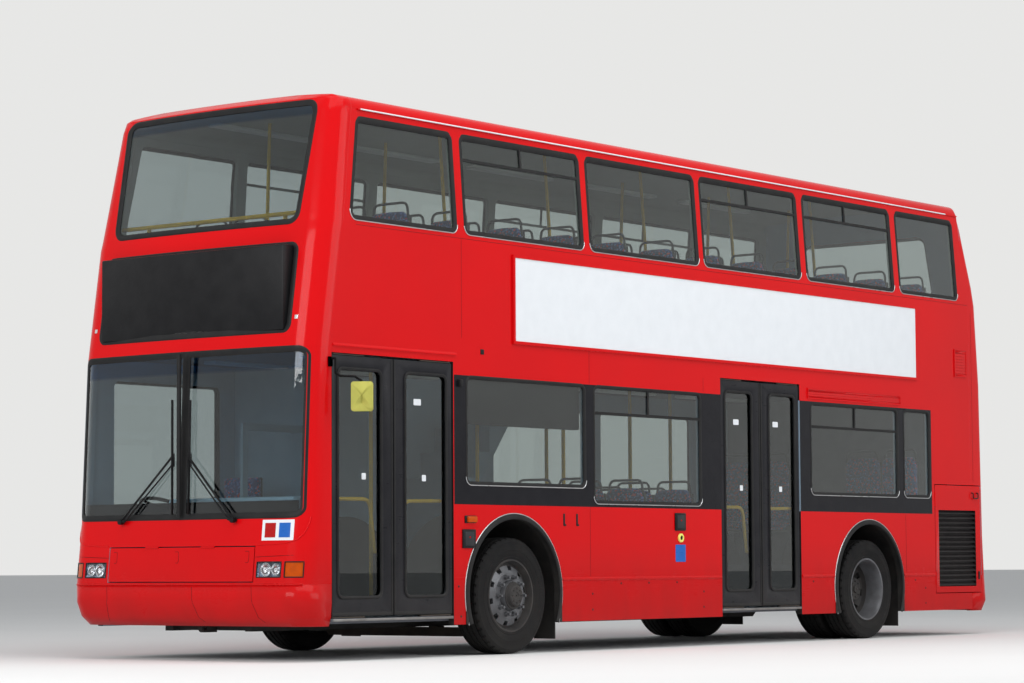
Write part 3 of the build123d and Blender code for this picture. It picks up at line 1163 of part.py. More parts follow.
# Upper deck: a rail across behind the front window, and posts and a rail round the stairwell
FRONT_RAIL_X = HALF - 200.0
FRONT_RAIL_Z = SILL_Z + 100.0
front_rail_y = NOSE_Y + 430.0
front_rail = bar((-FRONT_RAIL_X, front_rail_y, FRONT_RAIL_Z), (FRONT_RAIL_X, front_rail_y, FRONT_RAIL_Z), POLE_R)
for rail_x in (-FRONT_RAIL_X * 0.7, FRONT_RAIL_X * 0.7):
    front_rail += bar((rail_x, front_rail_y, UPPER_TOP + SEAT), (rail_x, front_rail_y, FRONT_RAIL_Z), POLE_R)
WELL_RAIL_Z = UPPER_TOP + 950.0
well_x = -STAIR_X0 + 2 * POLE_R
well_posts = (WELL_Y0 + POLE_R, (WELL_Y0 + STAIR_Y1) / 2, STAIR_Y1 - 2 * POLE_R)
well_rail = bar((well_x, well_posts[0] - POLE_R, WELL_RAIL_Z), (well_x, well_posts[-1] + POLE_R, WELL_RAIL_Z), POLE_R)
for post_y in well_posts:
    well_rail += bar((well_x, post_y, UPPER_TOP + SEAT), (well_x, post_y, WELL_RAIL_Z), POLE_R)
grab_rails = Compound(children=[*rails, front_rail, well_rail])

# Driver's cab: rear wall, side screen with the door way, dash, wheel and seat
CAB_BACK_Y = -715.0
CAB_X = -360.0
CAB_THICK = 30.0
CAB_TOP = UPPER_BOTTOM - SEAT
CAB_SCREEN = (NOSE_Y + 600.0, NOSE_Y + 1120.0, 1250.0)
cab_partition = block(-FLOOR_HALF, CAB_X, CAB_BACK_Y, CAB_BACK_Y + CAB_THICK, LOW_TOP + SEAT, CAB_TOP)
cab_partition += block(CAB_X - CAB_THICK, CAB_X, *CAB_SCREEN[:2], LOW_TOP + SEAT, CAB_SCREEN[2])
CAB_GAP = 10.0
CAB_HINGE_R = CAB_GAP - SEAT
CAB_HINGE_HALF = 60.0
CAB_DOOR = (CAB_SCREEN[1] + CAB_GAP, CAB_BACK_Y - CAB_GAP, LOW_TOP + 20.0, 1900.0)
CAB_RAIL = 60.0
CAB_PANE_Z = 1300.0
door_y0, door_y1 = CAB_DOOR[:2]
cab_top = CAB_DOOR[3] - CAB_RAIL
cab_door = block(CAB_X - CAB_THICK, CAB_X, *CAB_DOOR)
cab_door -= block(CAB_X - CAB_THICK - 1, CAB_X + 1, door_y0 + CAB_RAIL, door_y1 - CAB_RAIL, CAB_PANE_Z, cab_top)
for hinge_z in (600.0, 1200.0, 1700.0):
    cab_door += bar((CAB_X, door_y1, hinge_z - CAB_HINGE_HALF), (CAB_X, door_y1, hinge_z + CAB_HINGE_HALF), CAB_HINGE_R)

DASH_TOP = 1060.0
DASH_Y0, DASH_Y1 = NOSE_Y + 350.0, NOSE_Y + 560.0
dash_mass = front_mass(WALL + SEAT) & block(-BEYOND, BEYOND, AHEAD_Y, DASH_Y0, LOW_TOP + SEAT, DASH_TOP)
dashboard = dash_mass + block(-HALF + 70, CAB_X - 40, DASH_Y0 - 1, DASH_Y1, 700, DASH_TOP + 40)
steering_centre = (-780.0, NOSE_Y + 690.0, 1180.0)
sx, sy = steering_centre[:2]
wheel_plane = Plane(origin=steering_centre, z_dir=(0, 0.5, 1))
STEERING_R = 230.0
STEERING_TUBE = 15.0
SPOKE_WIDTH, SPOKE_THICK = 30.0, 12.0
COLUMN_R = 35.0
COLUMN_LENGTH = 400.0
steering_wheel = wheel_plane * Torus(STEERING_R, STEERING_TUBE)
for angle in (30, 150, 270):
    spoke = Rot(0, 0, angle) * Pos(STEERING_R / 2, 0, 0) * Box(STEERING_R, SPOKE_WIDTH, SPOKE_THICK)
    steering_wheel += wheel_plane * spoke
steering_wheel += wheel_plane * Pos(0, 0, 20 - COLUMN_LENGTH / 2) * Cylinder(COLUMN_R, COLUMN_LENGTH)
dashboard -= wheel_plane * Pos(0, 0, -250) * Cylinder(COLUMN_R + SEAT, 1.5 * COLUMN_LENGTH)

# Driver's seat: half width of cushion, back and pedestal, heights, and stations behind the steering wheel
DRIVER_HALF = 240.0
PEDESTAL_HALF = 160.0
driver_y0, driver_y1 = sy + 400.0, sy + 850.0
DRIVER_Z0, DRIVER_Z1, DRIVER_TOP = 780.0, 880.0, 1500.0
cushion = block(sx - DRIVER_HALF, sx + DRIVER_HALF, driver_y0, driver_y1, DRIVER_Z0, DRIVER_Z1)
pedestal = block(sx - PEDESTAL_HALF, sx + PEDESTAL_HALF, driver_y0 + 80, driver_y1 - 90, LOW_TOP + SEAT, DRIVER_Z0)
back_face = fillet(Rectangle(2 * DRIVER_HALF - 20, DRIVER_TOP - DRIVER_Z0).vertices(), 70)
back_plane = Plane(origin=(sx, driver_y1 + SEAT, (DRIVER_TOP + DRIVER_Z0) / 2), x_dir=(-1, 0, 0), z_dir=(0, 1, 0))
driver_seat = Compound(children=[cushion + pedestal, extrude(back_plane * back_face, amount=80)])

# Mirrors on cranked arms, wipers, rear lamps
MIRROR_AT = (HALF + 205.0, NOSE_Y + 500.0, 2018.0)
MIRROR_HALF_WIDTH = 84.0
MIRROR_HALF_HEIGHT = 114.0
MIRROR_DEPTH = 46.0
MIRROR_ARM_R = 9.0
# Bends of the arm: beyond the side, behind the nose, height
MIRROR_ARM = [(HALF + out, NOSE_Y + back, z) for out, back, z in (
    (14.0, 360.0, 2312.0), (42.0, 378.0, 2312.0), (42.0, 378.0, 2200.0), (70.0, 402.0, 2176.0),
    (158.0, 470.0, 2172.0), (200.0, 504.0, 2136.0), (200.0, 504.0, 2080.0),
)]
MIRROR_FOOT = (16.0, 338.0, 377.0, 2250.0, 2325.0)
foot_thick, foot_back0, foot_back1, foot_z0, foot_z1 = MIRROR_FOOT
mirror_plane = Plane(origin=MIRROR_AT, x_dir=(0.81, 0.58, 0), z_dir=(0.58, -0.81, 0))
housing_face = fillet(Rectangle(2 * MIRROR_HALF_WIDTH, 2 * MIRROR_HALF_HEIGHT).vertices(), 22)
nearside_mirror = extrude(mirror_plane * housing_face, amount=MIRROR_DEPTH / 2, both=True)
nearside_mirror -= extrude(mirror_plane * Pos(0, -20, MIRROR_DEPTH / 2 + 1) * SlotCenterToCenter(
    60, 12, rotation=90), amount=-9)
nearside_mirror += block(HALF + SEAT, HALF + foot_thick, NOSE_Y + foot_back0, NOSE_Y + foot_back1, foot_z0, foot_z1)
for start, end in zip(MIRROR_ARM, MIRROR_ARM[1:]):
    nearside_mirror += bar(start, end, MIRROR_ARM_R) + Pos(*end) * Sphere(MIRROR_ARM_R)
mirrors = both_sides(nearside_mirror)

# Wipers: pivot x, blade foot (x, z), blade head (x, z); each arm is a pair of rods
WIPER_PIVOT_Z = 1085.0
WIPER_STAND = 34.0
WIPERS = (
    (569.0, (93.0, 1134.0), (79.0, 2026.0)),
    (-645.0, (-80.0, 1134.0), (-117.0, 2034.0)),
)


def before_glass(x, z, stand):
    """Point in front of the front face."""
    return (x, front_y(x, z) - stand, z)


wiper_arms = []
for pivot_x, (foot_x, foot_z), (head_x, head_z) in WIPERS:
    mid_x, mid_z = (foot_x + head_x) / 2, (foot_z + head_z) / 2
    spindle = bar((pivot_x, front_y(pivot_x, WIPER_PIVOT_Z) + 20, WIPER_PIVOT_Z),
                  before_glass(pivot_x, WIPER_PIVOT_Z, WIPER_STAND + 6), 14)
    arm = bar(before_glass(pivot_x, WIPER_PIVOT_Z, WIPER_STAND), before_glass(mid_x, mid_z, WIPER_STAND - 6), 9)
    blade = bar(before_glass(foot_x, foot_z, WIPER_STAND - 10), before_glass(head_x, head_z, WIPER_STAND - 12), 10)
    wiper_arms.append((spindle + arm + blade) - front_mass(-SEAT))
wipers = Compound(children=[solid for wiper in wiper_arms for solid in wiper.solids()])

# Rear lamps: inner edge, outer edge, bottom, top
REAR_LAMPS = (
    (HALF - 250.0, HALF - 110.0, 1620.0, 1780.0),
    (HALF - 250.0, HALF - 110.0, 1810.0, 1970.0),
    (HALF - 250.0, HALF - 110.0, 2000.0, 2160.0),
    (HALF - 350.0, HALF - 130.0, 430.0, 530.0),
)
rear_lamp_skin = rear_mass(2.0) - rear_mass(50.0)
rear_lamps = []
for lamp_x0, lamp_x1, lamp_z0, lamp_z1 in REAR_LAMPS:
    hole = block(lamp_x0, lamp_x1, REAR_SEAM_Y, BEHIND_Y, lamp_z0, lamp_z1)
    lens = block(lamp_x0 + SEAT, lamp_x1 - SEAT, REAR_SEAM_Y, BEHIND_Y, lamp_z0 + SEAT, lamp_z1 - SEAT)
    rear_panel -= both_sides(hole)
    rear_bumper -= both_sides(hole)
    rear_lamps += [rear_lamp_skin & lens, rear_lamp_skin & mirrored(lens)]
lamps = Compound(children=[solid for lamp in (*front_lamps, *rear_lamps) for solid in lamp.solids()])

NODES = {
    "chassis_frame": chassis_frame,
    "lower_floor": lower_floor,
    "upper_floor": upper_floor,
    "front_bumper": front_bumper,
    "front_panel": front_panel,
    "front_dome": front_dome,
    "front_flap": front_flap,
    "front_glass": front_glass,
    "nearside_lower_side": nearside_lower_side,
    "nearside_band": nearside_band,
    "nearside_upper_side": nearside_upper_side,
    "offside_lower_side": mirrored(offside_lower_side),
    "offside_band": mirrored(offside_band),
    "offside_upper_side": mirrored(nearside_upper_side),
    "roof": roof,
    "rear_panel": rear_panel,
    "rear_bumper": rear_bumper,
    "rear_door": rear_door,
    "rear_glass": rear_pane,
    "side_glass": side_glass,
    "engine": engine,
    "engine_flap": engine_flap,
    "side_board": side_board,
    "side_mouldings": side_mouldings,
    "side_vents": side_vents,
    "window_bars": window_bars,
    "lower_seats": seats(LOWER_ROWS),
    "upper_seats": seats(UPPER_ROWS),
    "grab_rails": grab_rails,
    "staircase": staircase,
    "cab_partition": cab_partition,
    "cab_door": cab_door,
    "dashboard": dashboard,
    "steering_wheel": steering_wheel,
    "driver_seat": driver_seat,
    "mirrors": mirrors,
    "wipers": wipers,
    "lamps": lamps,
    "wheel_arches": wheel_arches,
    "front_axle": front_axle,
    "rear_axle": rear_axle,
    "knuckle_left": knuckle_left,
    "knuckle_right": mirrored(knuckle_left),
    "front_tyre_left": front_tyre,
    "front_tyre_right": mirrored(front_tyre),
    "front_rim_left": front_wheel_rim,
    "front_rim_right": mirrored(front_wheel_rim),
    "rear_tyres_left": rear_tyres,
    "rear_tyres_right": mirrored(rear_tyres),
    "rear_rim_left": rear_wheel_rim,
    "rear_rim_right": mirrored(rear_wheel_rim),
}
for door_name, doorway in (("front", FRONT_DOOR), ("centre", CENTRE_DOOR)):
    for leaf_name, is_fore in (("fore", True), ("aft", False)):
        NODES[f"{door_name}_door_{leaf_name}"] = door_leaf(doorway, is_fore)
        NODES[f"{door_name}_door_{leaf_name}_arms"] = door_arms(doorway, is_fore)

for node_name, node_shape in NODES.items():
    keep(node_name, node_shape)
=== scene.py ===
"""Dresses the red double deck bus: paint, glass, rubbers, doors, wheels, seats and cabin."""
import math

import bmesh
import bpy
from mathutils import Matrix, Vector
from mathutils.bvhtree import BVHTree
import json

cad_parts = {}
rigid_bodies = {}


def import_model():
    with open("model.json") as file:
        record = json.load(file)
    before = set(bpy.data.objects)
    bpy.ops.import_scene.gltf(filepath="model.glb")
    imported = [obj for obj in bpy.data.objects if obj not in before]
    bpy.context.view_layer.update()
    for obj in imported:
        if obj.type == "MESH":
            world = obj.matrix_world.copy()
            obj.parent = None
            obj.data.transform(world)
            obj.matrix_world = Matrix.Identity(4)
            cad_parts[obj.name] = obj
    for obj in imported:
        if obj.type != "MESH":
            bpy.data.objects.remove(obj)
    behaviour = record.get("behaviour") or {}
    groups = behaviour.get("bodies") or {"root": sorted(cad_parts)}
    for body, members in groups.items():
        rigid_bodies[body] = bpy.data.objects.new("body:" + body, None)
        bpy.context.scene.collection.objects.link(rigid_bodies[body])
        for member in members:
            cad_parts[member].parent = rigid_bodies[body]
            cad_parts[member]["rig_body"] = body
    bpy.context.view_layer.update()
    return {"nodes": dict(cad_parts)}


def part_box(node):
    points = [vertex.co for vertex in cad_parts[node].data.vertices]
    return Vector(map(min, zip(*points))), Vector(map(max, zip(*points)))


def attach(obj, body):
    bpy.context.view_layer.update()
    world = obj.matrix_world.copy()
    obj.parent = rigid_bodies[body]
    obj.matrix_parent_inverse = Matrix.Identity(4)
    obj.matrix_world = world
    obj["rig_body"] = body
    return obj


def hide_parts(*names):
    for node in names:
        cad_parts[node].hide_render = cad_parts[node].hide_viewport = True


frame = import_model()
NODES = frame["nodes"]
UP = Vector((0, 0, 1))


def middle(node):
    """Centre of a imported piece."""
    low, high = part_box(node)
    return (low + high) / 2


# Places that everything else is measured from, in metres
FRONT_AXLE_Y = middle("front_axle").y
REAR_AXLE_Y = middle("rear_axle").y
WHEEL_Z = middle("front_tyre_left").z
SIDE_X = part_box("nearside_lower_side")[1].x
CANT_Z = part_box("nearside_upper_side")[1].z
CANT_X = 1.193


def at(station):
    """Distance along the bus in the frame, from a distance behind the front axle."""
    return FRONT_AXLE_Y + station


# Finishes


def feed(tree, socket, value):
    """Links a socket into an input, or sets the input to a value."""
    if isinstance(value, bpy.types.NodeSocket):
        tree.links.new(value, socket)
    else:
        socket.default_value = (*value, 1) if socket.type == "RGBA" and len(value) == 3 else value


class Finish:
    """Node tree of one material, built round a Principled shader."""

    def __init__(self, name, colour, roughness, **sockets):
        self.material = bpy.data.materials.new(name)
        self.material.use_nodes = True
        self.tree = self.material.node_tree
        self.shader = self.tree.nodes["Principled BSDF"]
        self.fill(self.shader, {"Base Color": colour, "Roughness": roughness, **sockets})

    def fill(self, node, values):
        for name, value in values.items():
            feed(self.tree, node.inputs[name.replace("_", " ")], value)

    def node(self, kind, **values):
        """New node, with its inputs set or linked by name."""
        made = self.tree.nodes.new(kind)
        self.fill(made, values)
        return made

    def group(self, effect, **values):
        """Places a shared effect in this material."""
        placed = self.tree.nodes.new("ShaderNodeGroup")
        placed.node_tree = effect
        self.fill(placed, values)
        return placed.outputs

    def colour(self, socket):
        feed(self.tree, self.shader.inputs["Base Color"], socket)

    def roughness(self, socket):
        feed(self.tree, self.shader.inputs["Roughness"], socket)

    def bump(self, socket, depth, strength=1.0):
        bump = self.node("ShaderNodeBump", Height=socket, Distance=depth, Strength=strength)
        feed(self.tree, self.shader.inputs["Normal"], bump.outputs["Normal"])


def math_node(tree, operation, first, second, clamp=False):
    node = tree.nodes.new("ShaderNodeMath")
    node.operation, node.use_clamp = operation, clamp
    feed(tree, node.inputs[0], first)
    feed(tree, node.inputs[1], second)
    return node.outputs[0]


def noise_node(tree, vector, scale, detail):
    node = tree.nodes.new("ShaderNodeTexNoise")
    for name, value in (("Vector", vector), ("Scale", scale), ("Detail", detail)):
        feed(tree, node.inputs[name], value)
    return node.outputs["Fac"]


def mixed(tree, factor, first, second):
    """Colour between two colours."""
    mix = tree.nodes.new("ShaderNodeMix")
    mix.data_type = "RGBA"
    for socket, value in ((mix.inputs["Factor"], factor), (mix.inputs[6], first), (mix.inputs[7], second)):
        feed(tree, socket, value)
    return mix.outputs[2]


def choose_shader(tree, factor, first, second, end):
    """Leads one shader or the other to the end of a tree."""
    either = tree.nodes.new("ShaderNodeMixShader")
    for socket, source in zip(either.inputs, (factor, first.outputs[0], second.outputs[0])):
        tree.links.new(source, socket)
    tree.links.new(either.outputs[0], end.inputs["Surface"])


def object_place(tree):
    return tree.nodes.new("ShaderNodeTexCoord").outputs["Object"]


def height_of(tree, place):
    parts = tree.nodes.new("ShaderNodeSeparateXYZ")
    tree.links.new(place, parts.inputs[0])
    return parts.outputs["Z"]


def stretched(tree, place, scale):
    """A place drawn out, so that noise read there runs in streaks."""
    mapping = tree.nodes.new("ShaderNodeMapping")
    mapping.inputs["Scale"].default_value = scale
    tree.links.new(place, mapping.inputs["Vector"])
    return mapping.outputs["Vector"]


def shared_effect(name, given, results):
    """Node group with inputs (name: default) and outputs; those called a colour are colours."""
    made = bpy.data.node_groups.new(name, "ShaderNodeTree")
    for label in (*given, *results):
        way = "INPUT" if label in given else "OUTPUT"
        kind = "NodeSocketColor" if label.startswith("Colour") else "NodeSocketFloat"
        socket = made.interface.new_socket(label, in_out=way, socket_type=kind)
        if label in given:
            socket.default_value = given[label]
    return made, made.nodes.new("NodeGroupInput").outputs, made.nodes.new("NodeGroupOutput").inputs


def make_mottle():
    """Two colours that drift into each other, and the mask between them."""
    tree, given, result = shared_effect(
        "mottle", {"Colour A": (1, 1, 1, 1), "Colour B": (0, 0, 0, 1), "Scale": 2.0, "Contrast": 2.0},
        ("Colour", "Mask"),
    )
    noise = noise_node(tree, object_place(tree), given["Scale"], 6.0)
    spread = math_node(tree, "MULTIPLY", math_node(tree, "SUBTRACT", noise, 0.5), given["Contrast"])
    mask = math_node(tree, "ADD", spread, 0.5, clamp=True)
    tree.links.new(mixed(tree, mask, given["Colour A"], given["Colour B"]), result["Colour"])
    tree.links.new(mask, result["Mask"])
    return tree


def make_road_film():
    """Mask of road dirt that thickens towards the ground and runs in streaks."""
    tree, given, result = shared_effect(
        "road film", {"Clean Height": 1.1, "Dirty Height": 0.2, "Amount": 1.0}, ("Mask",)
    )
    place = object_place(tree)
    fall = tree.nodes.new("ShaderNodeMapRange")
    feed(tree, fall.inputs["Value"], height_of(tree, place))
    feed(tree, fall.inputs["From Min"], given["Clean Height"])
    feed(tree, fall.inputs["From Max"], given["Dirty Height"])
    streaks = noise_node(tree, stretched(tree, place, (6.0, 6.0, 1.2)), 1.0, 8.0)
    pattern = math_node(tree, "ADD", streaks, noise_node(tree, place, 3.0, 5.0))
    thick = math_node(tree, "MULTIPLY", fall.outputs["Result"], pattern)
    tree.links.new(math_node(tree, "MULTIPLY", thick, given["Amount"], clamp=True), result["Mask"])
    return tree


def make_relief():
    """Height of a slow waviness with a fine grain on it."""
    tree, given, result = shared_effect(
        "relief", {"Wave Scale": 1.5, "Grain Scale": 400.0, "Grain Share": 0.1}, ("Height",)
    )
    place = object_place(tree)
    wave = noise_node(tree, place, given["Wave Scale"], 1.0)
    grain = noise_node(tree, place, given["Grain Scale"], 2.0)
    fine = math_node(tree, "MULTIPLY", grain, given["Grain Share"])
    tree.links.new(math_node(tree, "ADD", wave, fine), result["Height"])
    return tree


def make_wear():
    """Roughness that a surface gets from rubbing and dust: a base, plus blotches and fine scratches."""
    tree, given, result = shared_effect("wear", {"Base": 0.3, "Spread": 0.15, "Scale": 6.0}, ("Roughness",))
    place = object_place(tree)
    blotch = noise_node(tree, place, given["Scale"], 6.0)
    scratches = noise_node(tree, stretched(tree, place, (30.0, 4.0, 90.0)), 1.0, 4.0)
    uneven = math_node(tree, "SUBTRACT", math_node(tree, "ADD", blotch, scratches), 1.0)
    spread = math_node(tree, "MULTIPLY", uneven, given["Spread"])
    tree.links.new(math_node(tree, "ADD", spread, given["Base"], clamp=True), result["Roughness"])
    return tree


MOTTLE, ROAD_FILM, RELIEF, WEAR = make_mottle(), make_road_film(), make_relief(), make_wear()


def filmed(finish, colour, dirt, clean, dirty, amount):
    """Colour under a road film, and the film's mask."""
    film = finish.group(ROAD_FILM, Clean_Height=clean, Dirty_Height=dirty, Amount=amount)["Mask"]
    return mixed(finish.tree, film, colour, dirt), film


def coach_paint(name, clean, faded, dirt):
    """Glossy body paint, slightly faded in clouds, with road film on the skirts."""
    finish = Finish(name, clean, 0.2, Specular_IOR_Level=0.05, Coat_Weight=0.14, Coat_Roughness=0.04)
    cloud = finish.group(MOTTLE, Colour_A=clean, Colour_B=faded, Scale=0.9, Contrast=2.2)["Colour"]
    colour, film = filmed(finish, cloud, dirt, 0.95, 0.1, 0.5)
    finish.colour(colour)
    rub = finish.group(WEAR, Base=0.2, Spread=0.07, Scale=5.0)["Roughness"]
    finish.roughness(math_node(finish.tree, "ADD", rub, math_node(finish.tree, "MULTIPLY", film, 0.35)))
    relief = finish.group(RELIEF, Wave_Scale=1.7, Grain_Scale=350.0, Grain_Share=0.012)["Height"]
    finish.bump(relief, 0.006, 0.5)
    return finish.material


def moulded(name, colour, other, roughness, grain=250.0, depth=0.0006, dust=0.12, **sockets):
    """Moulded plastic, rubber or plain enamel: two close shades, uneven gloss and a fine grain."""
    sockets.setdefault("Specular_IOR_Level", 0.12)
    finish = Finish(name, colour, roughness, **sockets)
    cloud = finish.group(MOTTLE, Colour_A=colour, Colour_B=other, Scale=7.0, Contrast=2.0)["Colour"]
    finish.colour(filmed(finish, cloud, (0.12, 0.11, 0.10), 0.75, 0.1, dust)[0])
    finish.roughness(finish.group(WEAR, Base=roughness, Spread=0.2, Scale=12.0)["Roughness"])
    finish.bump(finish.group(RELIEF, Wave_Scale=30.0, Grain_Scale=grain, Grain_Share=0.5)["Height"], depth)
    return finish.material


def moquette(name, ground, fleck, second):
    """Cut pile cloth: dark ground with two colours of fleck, and a pile that breaks up the light."""
    finish = Finish(name, ground, 0.92, Specular_IOR_Level=0.2, Sheen_Weight=0.35)
    place, colour = object_place(finish.tree), ground
    for scale, threshold, tint in ((55.0, 0.33, fleck), (38.0, 0.27, second)):
        cells = finish.node("ShaderNodeTexVoronoi", Vector=place, Scale=scale)
        near = finish.node(
            "ShaderNodeMapRange", Value=cells.outputs["Distance"], From_Min=threshold,
            From_Max=threshold + 0.08, To_Min=1.0, To_Max=0.0,
        )
        colour = mixed(finish.tree, near.outputs["Result"], colour, tint)
    finish.colour(colour)
    pile = finish.group(RELIEF, Wave_Scale=60.0, Grain_Scale=900.0, Grain_Share=1.2)["Height"]
    finish.bump(pile, 0.0012, 0.8)
    return finish.material


def lamp_cover(name, colour):
    """Moulded lamp cover with fine flutes on its face."""
    finish = Finish(name, colour, 0.12, Specular_IOR_Level=0.1, Coat_Weight=0.06, Coat_Roughness=0.04)
    deep = [c * 0.72 for c in colour]
    finish.colour(finish.group(MOTTLE, Colour_A=colour, Colour_B=deep, Scale=24.0, Contrast=1.6)["Colour"])
    flutes = finish.node("ShaderNodeTexWave", Vector=object_place(finish.tree), Scale=110.0)
    finish.roughness(finish.group(WEAR, Base=0.14, Spread=0.1, Scale=20.0)["Roughness"])
    finish.bump(flutes.outputs["Fac"], 0.002, 0.3)
    return finish.material


def window_glass(name, tint):
    """Tinted pane that lets the lamps through: its finish, ready for a further colour."""
    finish = Finish(name, tint, 0.0, IOR=1.45, Transmission_Weight=1.0, Specular_IOR_Level=0.3)
    tree = finish.tree
    clear = tree.nodes.new("ShaderNodeBsdfTransparent")
    clear.inputs["Color"].default_value = (*[c * c for c in tint], 1)
    shadow = tree.nodes.new("ShaderNodeLightPath").outputs["Is Shadow Ray"]
    choose_shader(tree, shadow, finish.shader, clear, tree.nodes["Material Output"])
    return finish


def sun_strip_glass(name, tint, strip, edges):
    """Glass with a blue strip along its top edge: heights given as pairs of foot and head."""
    finish = window_glass(name, tint)
    height = height_of(finish.tree, object_place(finish.tree))
    mask = None
    for low, high in edges:
        above = finish.node("ShaderNodeMapRange", Value=height, From_Min=low - 0.012, From_Max=low + 0.012)
        below = math_node(finish.tree, "LESS_THAN", height, high)
        band = math_node(finish.tree, "MULTIPLY", above.outputs["Result"], below)
        mask = band if mask is None else math_node(finish.tree, "ADD", mask, band, clamp=True)
    finish.colour(mixed(finish.tree, mask, tint, strip))
    return finish.material


RED = coach_paint("bus red paint", (0.62, 0.002, 0.004), (0.56, 0.003, 0.005), (0.24, 0.014, 0.012))
BLACK_GLOSS = moulded("gloss black panel", (0.007, 0.007, 0.010), (0.011, 0.011, 0.014), 0.2, dust=0.04)
DOOR_BLACK = moulded("door frame black", (0.010, 0.010, 0.013), (0.016, 0.016, 0.019), 0.32)
RUBBER = moulded("window rubber", (0.012, 0.012, 0.013), (0.020, 0.020, 0.020), 0.5)
SATIN_BLACK = moulded("satin black plastic", (0.008, 0.008, 0.009), (0.014, 0.014, 0.015), 0.38)
BRIGHT = moulded("bright aluminium", (0.55, 0.56, 0.57), (0.42, 0.43, 0.44), 0.3, Metallic=0.85)
STEP_METAL = moulded("worn step metal", (0.30, 0.29, 0.28), (0.14, 0.135, 0.13), 0.45, Metallic=0.6)
GLASS = window_glass("window glass", (0.53, 0.58, 0.57)).material
FRONT_GLASS = sun_strip_glass(
    "front glass with sun strip", (0.46, 0.51, 0.52), (0.08, 0.20, 0.38), ((2.235, 2.45), (4.235, 4.50))
)
DARK_METAL = moulded("black chassis paint", (0.012, 0.012, 0.013), (0.03, 0.028, 0.026), 0.6)
IRON = moulded("forged iron", (0.045, 0.042, 0.04), (0.09, 0.07, 0.055), 0.7, Metallic=0.3)
FLOOR_VINYL = moulded("grey floor vinyl", (0.14, 0.15, 0.17), (0.10, 0.105, 0.12), 0.55, grain=900.0)
LAMINATE = moulded("light blue laminate", (0.30, 0.42, 0.52), (0.26, 0.38, 0.48), 0.4)
LINING = moulded("pale ceiling lining", (0.42, 0.45, 0.41), (0.37, 0.40, 0.37), 0.5)
PALE_BLUE = moulded("pale blue side lining", (0.34, 0.45, 0.56), (0.30, 0.41, 0.52), 0.5)
SEAM = moulded("dark panel seam", (0.060, 0.006, 0.006), (0.040, 0.004, 0.005), 0.6)
GRILLE_BLACK = moulded(
    "black louvre paint", (0.010, 0.008, 0.009), (0.018, 0.015, 0.015), 0.5, Specular_IOR_Level=0.15
)
DASH_BLUE = moulded("pale blue dash top", (0.40, 0.58, 0.72), (0.36, 0.54, 0.68), 0.45)
DASH = moulded("blue grey dashboard", (0.16, 0.23, 0.32), (0.12, 0.18, 0.26), 0.5)
TYRE = moulded("tyre rubber", (0.006, 0.006, 0.007), (0.013, 0.0125, 0.012), 0.7, dust=0.06)
RIM = moulded("silver grey rim paint", (0.155, 0.16, 0.172), (0.08, 0.08, 0.085), 0.36, Metallic=0.35)
DARK_RIM = moulded("dark worn rim paint", (0.022, 0.022, 0.024), (0.05, 0.046, 0.043), 0.5)
YELLOW = moulded("yellow rail coating", (0.75, 0.47, 0.03), (0.66, 0.40, 0.03), 0.35)
BOSS_YELLOW = moulded("pale yellow plastic", (0.86, 0.83, 0.19), (0.78, 0.75, 0.17), 0.4)
MOQUETTE = moquette("flecked blue moquette", (0.025, 0.045, 0.16), (0.12, 0.22, 0.55), (0.55, 0.05, 0.06))
SEAT_SHELL = moulded("grey seat shell", (0.055, 0.06, 0.07), (0.04, 0.045, 0.05), 0.45)
HANDLE_GREY = moulded("dark grey handle", (0.035, 0.037, 0.040), (0.025, 0.026, 0.03), 0.4)
WHITE = moulded("white board", (0.74, 0.77, 0.80), (0.70, 0.73, 0.76), 0.35, Specular_IOR_Level=0.1)
SIGN_BLUE = moulded("blank blue sign", (0.02, 0.13, 0.48), (0.018, 0.11, 0.42), 0.3)
LENS = window_glass("clear lamp glass", (0.90, 0.92, 0.93)).material
AMBER = lamp_cover("amber lamp cover", (0.58, 0.080, 0.002))
RED_LENS = lamp_cover("red lamp cover", (0.45, 0.005, 0.006))
REFLECTOR = moulded("lamp bowl silver", (0.75, 0.76, 0.78), (0.66, 0.67, 0.69), 0.12, Metallic=0.95)
LIGHT_STRIP = moulded("ceiling light cover", (0.85, 0.86, 0.84), (0.80, 0.81, 0.79), 0.35)


# Making pieces


def stand(name, data):
    """New object in the scene."""
    made = bpy.data.objects.new(name, data)
    bpy.context.scene.collection.objects.link(made)
    return made


def mesh_of(name, bm):
    mesh = bpy.data.meshes.new(name)
    bm.to_mesh(mesh)
    bm.free()
    return mesh


def bmesh_of(*meshes):
    bm = bmesh.new()
    for mesh in meshes:
        bm.from_mesh(mesh)
    return bm


def verts_in(geometry):
    return [g for g in geometry if isinstance(g, bmesh.types.BMVert)]


def as_piece(name, bm, body, finish, angle=35.0, slot=None):
    """Turns a bmesh into a piece that rides on a body, smooth but for edges past an angle."""
    mesh = mesh_of(name, bm)
    mesh.shade_smooth()
    mesh.set_sharp_from_angle(angle=math.radians(angle))
    for material in finish if isinstance(finish, list) else [finish]:
        mesh.materials.append(material)
    piece = stand(name, mesh)
    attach(piece, body)
    return piece


def body_of_node(node):
    return NODES[node]["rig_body"]


def dress(node, finish, angle=28.0, slot=None):
    """A merged, smooth copy of a curved piece, which stands for it."""
    bm = bmesh_of(NODES[node].data)
    bmesh.ops.remove_doubles(bm, verts=bm.verts, dist=1e-5)
    piece = as_piece(f"{node}_skin", bm, body_of_node(node), finish, angle, slot=slot)
    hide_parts(node)
    return piece


def paint(node, finish):
    """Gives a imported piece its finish."""
    NODES[node].data.materials.clear()
    NODES[node].data.materials.append(finish)


def ring_of(bm, points):
    """Closed ring of vertices, and its edges."""
    verts = [bm.verts.new(point) for point in points]
    return verts, [bm.edges.new((verts[i - 1], verts[i])) for i in range(len(verts))]


